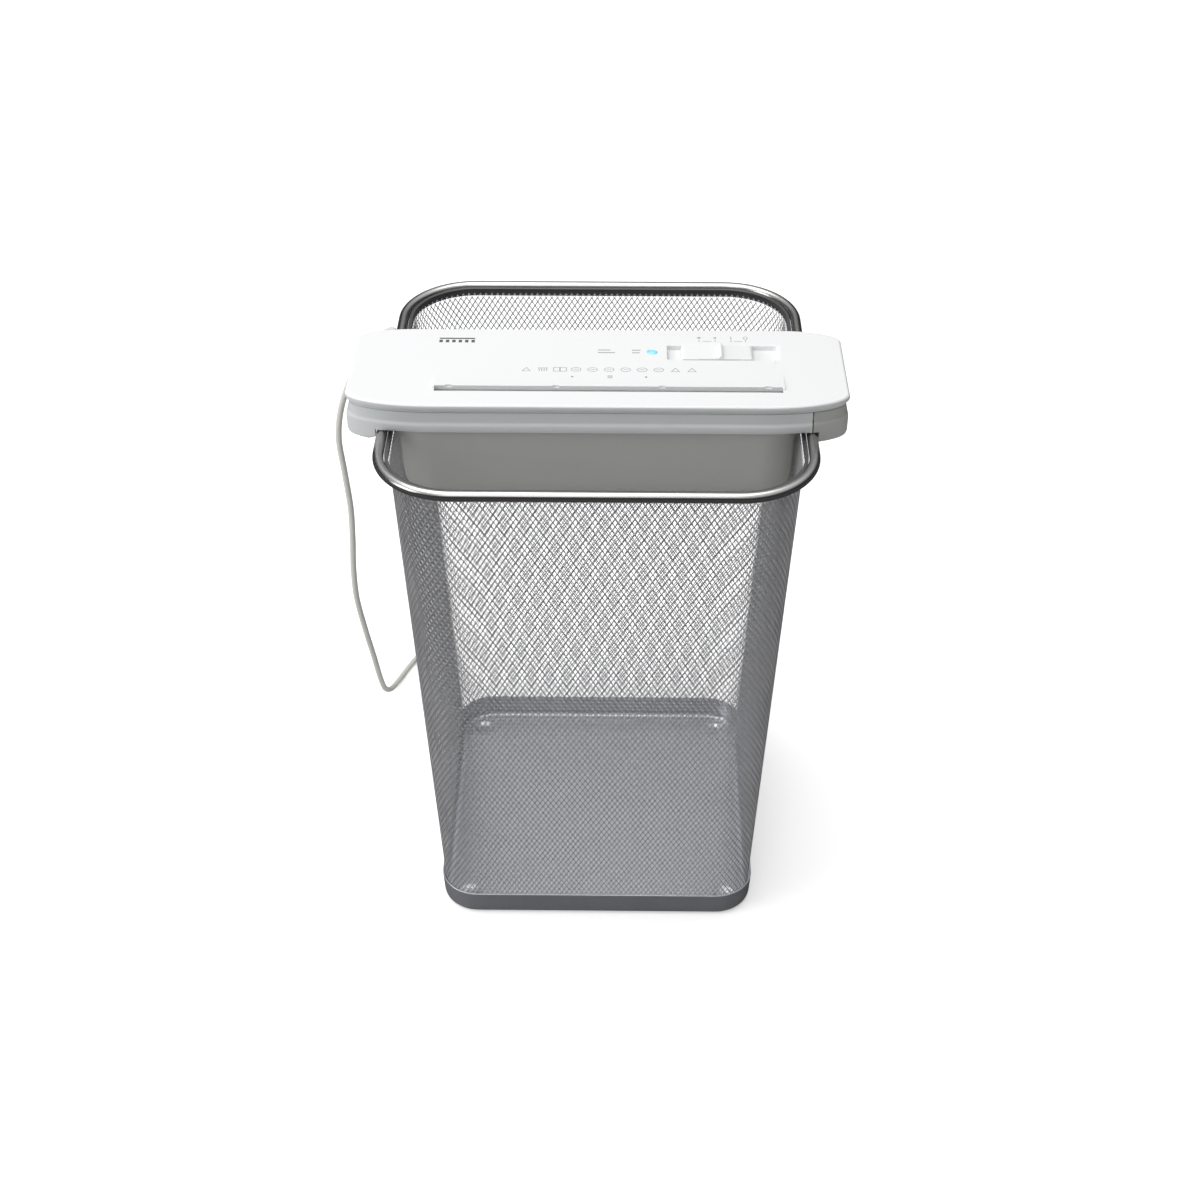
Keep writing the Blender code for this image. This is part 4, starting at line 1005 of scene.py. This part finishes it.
@dataclass
class Controls:
    """Slide switch, lamp and the plain printed marks round them."""

    head: Head
    knob: tuple[float, float, float, float] = (53.9, 100.3, -10.5, 6.9)
    ink: float = 0.05
    solids: list = field(default_factory=list)

    def slide(self) -> None:
        """Switch knob with a finger rib and soft edges."""
        x0, x1, y0, y1 = self.knob
        profile = [(x0, 400.4), (x1, 400.4), (x1, 402.3), (x1 - 0.3, 402.9), (x1 - 1.0, 403.3),
                   (x1 - 2.2, 403.5), (83.0, 403.85), (81.6, 404.0), (80.9, 404.4),
                   (80.6, 405.2), (80.35, 405.8), (79.9, 406.0), (79.3, 406.0), (78.85, 405.8),
                   (78.6, 405.2), (78.3, 404.4), (77.6, 404.0), (76.2, 403.85),
                   (x0 + 2.2, 403.5), (x0 + 1.0, 403.3), (x0 + 0.3, 402.9), (x0, 402.3)]
        bm = prism(profile, y0, y1, "Y")
        bmesh.ops.bevel(bm, geom=[e for e in bm.edges if abs(e.verts[0].co.y - e.verts[1].co.y)
                                  < 1e-6 and min(v.co.z for v in e.verts) > 402.0],
                        offset=0.45, segments=3, profile=0.5, affect="EDGES", clamp_overlap=True)
        stem = box(75.0, 79.0, -3.6, 0.6, 394.6, 401.5)
        place(piece("slide_knob", carve(bm, [stem], "UNION"), WHITE, 35.0, True), "switch",
              "switch_knob", slot="white_plastic")

    def lens(self) -> None:
        """Domed lamp lens in the cover's round hole."""
        x, y, r = self.head.lamp
        dome = [(398.0, 0.0), (398.0, r), (403.0, r), (403.3, r - 0.25), (403.55, r - 0.8),
                (403.72, r - 1.5), (403.8, r - 2.3), (403.82, 0.0)]
        place(piece("lamp_dome", turned(dome, (x, y, 0.0), "Z", 40), LENS, 60.0), "head",
              "lamp_lens", slot="lamp_blue")

    def print_shape(self, points: Sequence[tuple[float, float]],
                    inner: Sequence[tuple[float, float]] | None = None) -> None:
        """Lay one flat printed shape on the cover, as a thin closed solid.

        Args:
            points: its outline in plan.
            inner: the outline of a hole, with as many points.
        """
        def lifted(shape: Sequence[tuple[float, float]], up: float) -> Ring:
            """The shape at a height over the cover."""
            return [(x, y, self.head.surface(y) + up) for x, y in shape]
        rings = [lifted(points, 0.01), lifted(points, self.ink)]
        if inner:
            rings += [lifted(inner, self.ink), lifted(inner, 0.01)]
        self.solids.append(skin(rings, bool(inner)))

    def bar(self, x: float, y: float, wide: float, deep: float) -> None:
        """A filled bar about a point."""
        self.print_shape([(x - wide / 2, y - deep / 2), (x + wide / 2, y - deep / 2),
                          (x + wide / 2, y + deep / 2), (x - wide / 2, y + deep / 2)])

    def loop(self, x: float, y: float, rx: float, ry: float, line: float, sides: int,
             turn: float = 0.0) -> None:
        """A drawn loop: a circle with many sides, a triangle with three, a frame with four."""
        def ring(dx: float, dy: float) -> list[tuple[float, float]]:
            """The loop's points at these radii."""
            return [(x + dx * math.cos(turn + math.tau * k / sides),
                     y + dy * math.sin(turn + math.tau * k / sides)) for k in range(sides)]
        thin = line / math.cos(math.pi / sides)
        self.print_shape(ring(rx, ry), ring(rx - thin, ry - thin))

    def mark(self, kind: Mark, x: float, y: float, size: float, line: float) -> None:
        """Print one plain mark.

        Args:
            kind: which shape.
            x, y: its middle.
            size: its width.
            line: its line width.
        """
        h = size / 2.0
        if kind is Mark.DOT:
            self.loop(x, y, h, h, h * 0.6, 12)
        elif kind is Mark.RING:
            self.loop(x, y, h, h * 0.8, line, 28)
            self.bar(x, y, h, line)
        elif kind is Mark.TRIANGLE:
            self.loop(x, y - h * 0.2, h * 1.05, h, line, 3, math.pi / 2)
        elif kind is Mark.SHEET:
            self.loop(x, y, h, h * 1.25, line, 4, math.pi / 4)
            self.bar(x, y + h * 0.25, h * 0.8, line)
            self.bar(x, y - h * 0.25, h * 0.8, line)
        elif kind is Mark.STACK:
            self.loop(x - h * 0.5, y, h, h * 1.1, line, 4, math.pi / 4)
            self.loop(x + h * 0.7, y, h, h * 1.1, line, 4, math.pi / 4)
        elif kind is Mark.STRIPS:
            self.bar(x, y + h * 0.5, size, line * 1.4)
            for k in range(4):
                self.bar(x - h * 0.72 + k * h * 0.48, y - h * 0.22, line * 1.2, h * 0.95)

    def flush(self, name: str, finish: Finish) -> None:
        """Join the printed shapes so far into one piece."""
        whole = bmesh.new()
        for solid in self.solids:
            mesh = bpy.data.meshes.new("ink")
            solid.to_mesh(mesh)
            solid.free()
            whole.from_mesh(mesh)
            bpy.data.meshes.remove(mesh)
        self.solids.clear()
        place(piece(name, whole, finish, 20.0), "head")

    def prints(self) -> None:
        """Row of plain marks behind the slot, lamp and switch legends, and the corner mark."""
        row = (Mark.TRIANGLE, Mark.STRIPS, Mark.STACK, Mark.RING, Mark.RING, Mark.RING, Mark.RING,
               Mark.RING, Mark.RING, Mark.TRIANGLE, Mark.TRIANGLE)
        for k, kind in enumerate(row):
            self.mark(kind, -45.6 + k * 10.6, -24.6, 6.6, 0.42)
        self.mark(Mark.SHEET, 8.0, -34.3, 4.0, 0.42)
        for x in (66.0, 76.5, 87.0, 96.5):
            self.bar(x, 13.6, 0.5, 2.4)
        self.bar(71.2, 13.1, 6.0, 0.4)
        self.bar(91.7, 13.1, 5.4, 0.4)
        self.loop(96.5, 17.6, 1.5, 1.9, 0.45, 20)
        self.bar(87.0, 17.6, 0.6, 3.4)
        self.loop(76.5, 17.6, 1.5, 1.9, 0.45, 3, math.pi)
        self.mark(Mark.DOT, 66.0, 17.6, 2.4, 0.5)
        for y, (a, b) in ((0.8, (8.0, 5.6)), (-2.6, (11.0, 5.0))):
            self.bar(a / 2.0, y, a, 0.95)
            self.bar(22.0 + b / 2.0, y, b, 0.95)
        self.flush("printed_marks", INK)
        for x in (-16.0, 31.0):
            self.mark(Mark.DOT, x, -34.4, 1.5, 0.5)
        for k in range(6):
            self.bar(-103.0 + k * 4.2, 11.6, 2.2, 3.4)
        self.bar(-92.5, 15.2, 23.2, 1.5)
        self.flush("printed_corner_mark", DARK_INK)

    def build(self) -> None:
        """Make and dress the controls."""
        self.slide()
        self.lens()
        self.prints()


# ---- mains lead ---------------------------------------------------------------------------
@dataclass
class MainsLead:
    """Strain relief, flex tied in a hank beside the basket, and flat two-pin plug."""

    gland: tuple[float, float]
    radius: float = 2.2
    hank_at: tuple[float, float] = (-136.6, 160.0)
    hank_turn: float = 9.1
    hank_radius: float = 13.7
    hank_run: float = 50.0
    hank_waist: float = 6.6
    hank_high: float = 22.3
    plug_deep: float = 6.8
    tail: float = 55.0

    def laid(self, u: float, v: float, z: float) -> tuple[float, float, float]:
        """Point beside the hank's middle line: u across it, v along it, z up."""
        a = math.radians(self.hank_turn)
        return (self.hank_at[0] + u * math.cos(a) - v * math.sin(a),
                self.hank_at[1] + u * math.sin(a) + v * math.cos(a), z)

    def section(self, v: float, z: float, half: tuple[float, float], r: float, spans: int,
                grow: float = 0.0) -> Ring:
        """Upright rounded section across the hank's middle line.

        Args:
            v: its place along the line.
            z: height of its middle.
            half: half its width and half its height.
            r: corner radius.
            spans: spans in each corner.
            grow: how far it stands out, and a fifth of that on its underside.

        Returns:
            The points in order.
        """
        ring = []
        for su, sz, start in ((1, 1, 0), (-1, 1, 90), (-1, -1, 180), (1, -1, 270)):
            lift = grow if sz > 0 else grow * 0.2
            for k in range(spans + 1):
                a = math.radians(start + 90.0 * k / spans)
                ring.append(self.laid(su * (half[0] - r) + (r + grow) * math.cos(a), v,
                                      z + sz * (half[1] - r) + (r + lift) * math.sin(a)))
        return ring

    def hank_point(self, turn: float, z: float) -> tuple[float, float, float]:
        """Point on the hank's loop.

        Args:
            turn: share of the loop, from 0 at the near end of the left run, clockwise.
            z: height.

        Returns:
            The point.
        """
        r = self.hank_radius
        half, bend = self.hank_run / 2.0, math.pi * r
        whole = 2.0 * (self.hank_run + bend)
        s = (turn % 1.0) * whole
        side = -1
        if s >= whole / 2.0:
            side, s = 1, s - whole / 2.0
        if s < self.hank_run:
            v = s - half
            waist = self.hank_waist * math.cos(math.pi * v / self.hank_run) ** 2
            return self.laid(side * (r - waist), -side * v, z)
        a = (s - self.hank_run) / r
        return self.laid(side * r * math.cos(a), -side * (half + r * math.sin(a)), z)

    def route(self) -> list[Vector]:
        """Centre line from the strain relief, round the hank and to the plug."""
        gx, gz = self.gland
        floor = self.radius + 0.3
        high = self.hank_high - self.radius - 0.2
        pz, end = self.plug_deep + 0.25, self.hank_run / 2.0
        points = [(gx, 44.05, gz), (gx, 47.0, gz), (gx - 1.0, 54.2, gz - 1.0),
                  (gx - 4.1, 60.9, gz - 4.0), (gx - 8.9, 65.0, gz - 8.5), (gx - 14.8, 66.6, gz - 14.4),
                  (-162.9, 66.3, 362.0), (-172.6, 65.2, 344.0), (-181.2, 63.8, 321.0),
                  (-184.9, 63.0, 297.5), (-183.3, 64.2, 267.5), (-181.7, 67.0, 234.5),
                  (-182.9, 71.0, 205.0), (-185.5, 77.0, 170.0), (-186.0, 83.0, 140.0),
                  (-183.0, 91.0, 104.0), (-179.5, 101.0, 68.0), (-177.6, 110.5, 40.0),
                  (-176.0, 122.0, 19.0), (-173.2, 136.0, 7.4), (-168.8, 152.0, floor + 0.6),
                  (-162.6, 169.5, floor), (-158.8, 178.4, floor)]
        first, last, steps = 0.315, 4.2, 104
        for k in range(steps + 1):
            share = k / steps
            points.append(self.hank_point(first + (last - first) * share,
                                          floor + (high - floor) * share))
        points += [self.laid(u, end + v, z) for u, v, z in (
            (-13.3, 1.0, high), (-13.9, 7.0, high - 0.1), (-13.3, 13.0, high - 1.1),
            (-12.2, 19.0, high - 3.1), (-8.8, 28.0, high - 7.4), (-4.4, 37.0, high - 11.2),
            (-1.1, 45.5, pz + 0.3), (0.0, 52.0, pz), (0.0, self.tail, pz))]
        return evenly(smooth_line(points, 8), 2.4)

    def tie(self) -> None:
        """Soft strap that holds the hank at its waist."""
        wide = self.hank_radius - self.hank_waist + self.radius + 0.15
        half = (wide, (self.hank_high - 0.2) / 2.0)
        rings = [self.section(v, self.hank_high / 2.0 + 0.1, half, 2.6, 6, grow)
                 for v, grow in ((-4.5, 0.12), (-4.3, 0.65), (4.3, 0.65), (4.5, 0.12),
                                 (4.5, 0.02), (-4.5, 0.02))]
        place(piece("hank_strap", skin(rings, True), DARK, 50.0), "bin")

    def plug(self) -> bpy.types.Object:
        """Flat plug body with a waist for the fingers."""
        pz, v0 = self.plug_deep + 0.25, self.hank_run / 2.0 + self.tail + GAP
        rings = [self.section(v0 + dv, pz, (hu, hz), r, 8) for dv, hu, hz, r in (
            (0.0, 3.0, 3.0, 2.9), (0.5, 3.5, 3.5, 3.4), (4.0, 3.9, 3.9, 3.8), (8.0, 5.4, 4.6, 4.3),
            (11.0, 8.2, 5.3, 4.4), (14.0, 12.2, 5.8, 4.6), (16.5, 14.8, 6.2, 4.8),
            (19.0, 16.2, 6.6, 4.8), (22.0, 16.8, 6.8, 4.8), (27.0, 16.6, 6.5, 4.7),
            (33.0, 17.0, 6.8, 4.8), (34.6, 16.7, 6.5, 4.6), (35.4, 15.8, 5.7, 3.8))]
        return place(piece("flat_plug", skin(rings), CORD, 45.0, True), "bin", "plug_body",
                     slot="cord_pvc")

    def relief(self) -> None:
        """Tapered strain relief with a collar and grip ribs."""
        gx, gz = self.gland
        profile = [(22.0, 0.0), (22.0, 3.9), (29.35, 3.9), (29.35, 5.0), (29.55, 5.2),
                   (30.8, 5.2), (31.0, 5.0), (31.0, 4.1)]
        s = 31.4
        while s < 43.0:
            r = 3.9 - (s - 31.0) / 13.0
            profile += [(s, r), (s + 1.0, r - 0.05), (s + 1.15, r - 0.55), (s + 1.75, r - 0.6),
                        (s + 1.9, r - 0.15)]
            s += 1.95
        profile += [(43.6, 2.95), (44.0, 2.6), (44.0, 0.0)]
        place(piece("cord_relief", turned(profile, (gx, 0.0, gz), "Y", 40), CORD, 50.0), "head",
              "strain_relief", slot="cord_pvc")

    def build(self) -> None:
        self.relief()
        self.tie()
        plug = self.plug()
        line = self.route()
        flex = piece("mains_flex", tube(line, self.radius, 14, False), CORD, 60.0)
        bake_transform(flex)
        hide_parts("cord_lead", "cord_coil", "cord_tail")


# ---- inner parts --------------------------------------------------------------------------
@dataclass
class Mechanism:
    """Cutters, gears, plates, motor and electrics, which keep their CAD shapes."""

    def build(self) -> None:
        """Dress every CAD node that still shows in its slot's finish."""
        slots = {row["node"]: row["material_slot"] for row in FRAME["record"]["subparts"]}
        for name, node in FRAME["nodes"].items():
            node.data.materials.clear()
            node.data.materials.append(SLOT_FINISH[slots[name]].material())
        LOG.info("dressed %d CAD nodes", len(FRAME["nodes"]))


# ---- studio -------------------------------------------------------------------------------
@dataclass
class Studio:
    """Camera, soft lights, pale floor and plain surroundings."""

    eye: tuple[float, float, float] = (0.01431, -1.11197, 1.02770)
    look: tuple[float, float, float] = (-0.0094139, 0.80258366, -0.5964653)
    lens: float = 58.37
    floor_lift: float = 0.42

    def camera(self) -> None:
        """Camera in front of the shredder, above the cover and looking down on it."""
        data = bpy.data.cameras.new("camera")
        data.lens, data.sensor_width = self.lens, 36.0
        data.clip_start, data.clip_end = 0.05, 60.0
        obj = bpy.data.objects.new("camera", data)
        obj.location = self.eye
        obj.rotation_mode = "QUATERNION"
        obj.rotation_quaternion = Vector(self.look).to_track_quat("-Z", "Y")
        bpy.context.scene.collection.objects.link(obj)
        bpy.context.scene.camera = obj

    def light(self, name: str, at: Point, aim: Point, size: float, power: float) -> None:
        """One soft rectangular light.

        Args:
            name: its name.
            at: where it hangs.
            aim: the point that it faces.
            size: its width and height.
            power: its power in watts.
        """
        data = bpy.data.lights.new(name, "AREA")
        data.size, data.energy = size, power
        obj = bpy.data.objects.new(name, data)
        obj.location = at
        obj.rotation_mode = "QUATERNION"
        obj.rotation_quaternion = (Vector(aim) - Vector(at)).to_track_quat("-Z", "Y")
        bpy.context.scene.collection.objects.link(obj)

    def floor(self) -> None:
        """Plain pale floor, darker where steel mirrors it and lifted to white for the camera."""
        bm = bmesh.new()
        bmesh.ops.create_grid(bm, x_segments=1, y_segments=1, size=9000.0,
                              matrix=Matrix.Translation((0.0, 0.0, -0.1)))
        made = bpy.data.materials.new("pale_floor")
        made.use_nodes = True
        w = Wiring(made.node_tree)
        path = w.add("ShaderNodeLightPath")
        shade = w.add("ShaderNodeMix", data_type="RGBA")
        w.plug(path.outputs["Is Glossy Ray"], shade.inputs["Factor"])
        shade.inputs[6].default_value = (0.93, 0.93, 0.93, 1.0)
        shade.inputs[7].default_value = (0.07, 0.07, 0.075, 1.0)
        lift = w.math("MULTIPLY", path.outputs["Is Camera Ray"], self.floor_lift)
        shader = w.add("ShaderNodeBsdfPrincipled", {
            "Base Color": shade.outputs[2], "Roughness": 0.8,
            "Emission Color": (1.0, 1.0, 1.0, 1.0), "Emission Strength": lift})
        shader.inputs["Specular IOR Level"].default_value = 0.1
        w.plug(shader, w.add("ShaderNodeOutputMaterial").inputs["Surface"])
        mesh = bpy.data.meshes.new("floor")
        bm.transform(Matrix.Scale(MM, 4))
        bm.to_mesh(mesh)
        bm.free()
        mesh.materials.append(made)
        obj = bpy.data.objects.new("floor", mesh)
        bpy.context.scene.collection.objects.link(obj)

    def surroundings(self) -> None:
        """White room, lit more from the left, and darker towards the horizon in steel."""
        world = bpy.data.worlds.new("room")
        world.use_nodes = True
        bpy.context.scene.world = world
        w = Wiring(world.node_tree)
        at = w.add("ShaderNodeSeparateXYZ", {0: w.add("ShaderNodeTexCoord").outputs["Generated"]})
        rise = w.add("ShaderNodeMapRange", {"Value": at.outputs["Z"], "From Min": 0.30,
                                            "From Max": 0.85, "To Min": 0.04, "To Max": 0.95})
        path = w.add("ShaderNodeLightPath")
        left = w.math("MAXIMUM", w.math("MULTIPLY", at.outputs["X"], -1.0), 0.0)
        soft = w.math("MULTIPLY_ADD", left, 1.05, 0.30)
        strength = w.blend(soft, rise.outputs[0], path.outputs["Is Glossy Ray"])
        strength = w.blend(strength, 1.0, path.outputs["Is Camera Ray"])
        back = w.add("ShaderNodeBackground", {"Color": (1.0, 1.0, 1.0, 1.0),
                                              "Strength": strength})
        w.plug(back, w.add("ShaderNodeOutputWorld").inputs["Surface"])
        view = bpy.context.scene.view_settings
        view.view_transform, view.look = "Standard", "None"

    def build(self) -> None:
        """Set up the whole studio."""
        self.camera()
        self.floor()
        self.surroundings()
        self.light("top_softbox", (-0.2, 0.1, 1.9), (0.0, 0.0, 0.3), 1.5, 18.0)
        self.light("left_softbox", (-1.7, -0.7, 1.1), (0.0, 0.0, 0.25), 1.0, 9.0)
        self.light("front_softbox", (-0.3, -1.7, 2.1), (0.0, 0.0, 0.25), 0.8, 3.0)


def main() -> None:
    """Build the studio and the shredder in order."""
    logging.basicConfig(level=logging.INFO, format="%(name)s %(message)s")
    Studio().build()
    head = Head()
    MainsLead(head.gland).build()
    Basket().build()
    head.build()
    Controls(head).build()
    Mechanism().build()


if __name__ == "__main__":
    main()
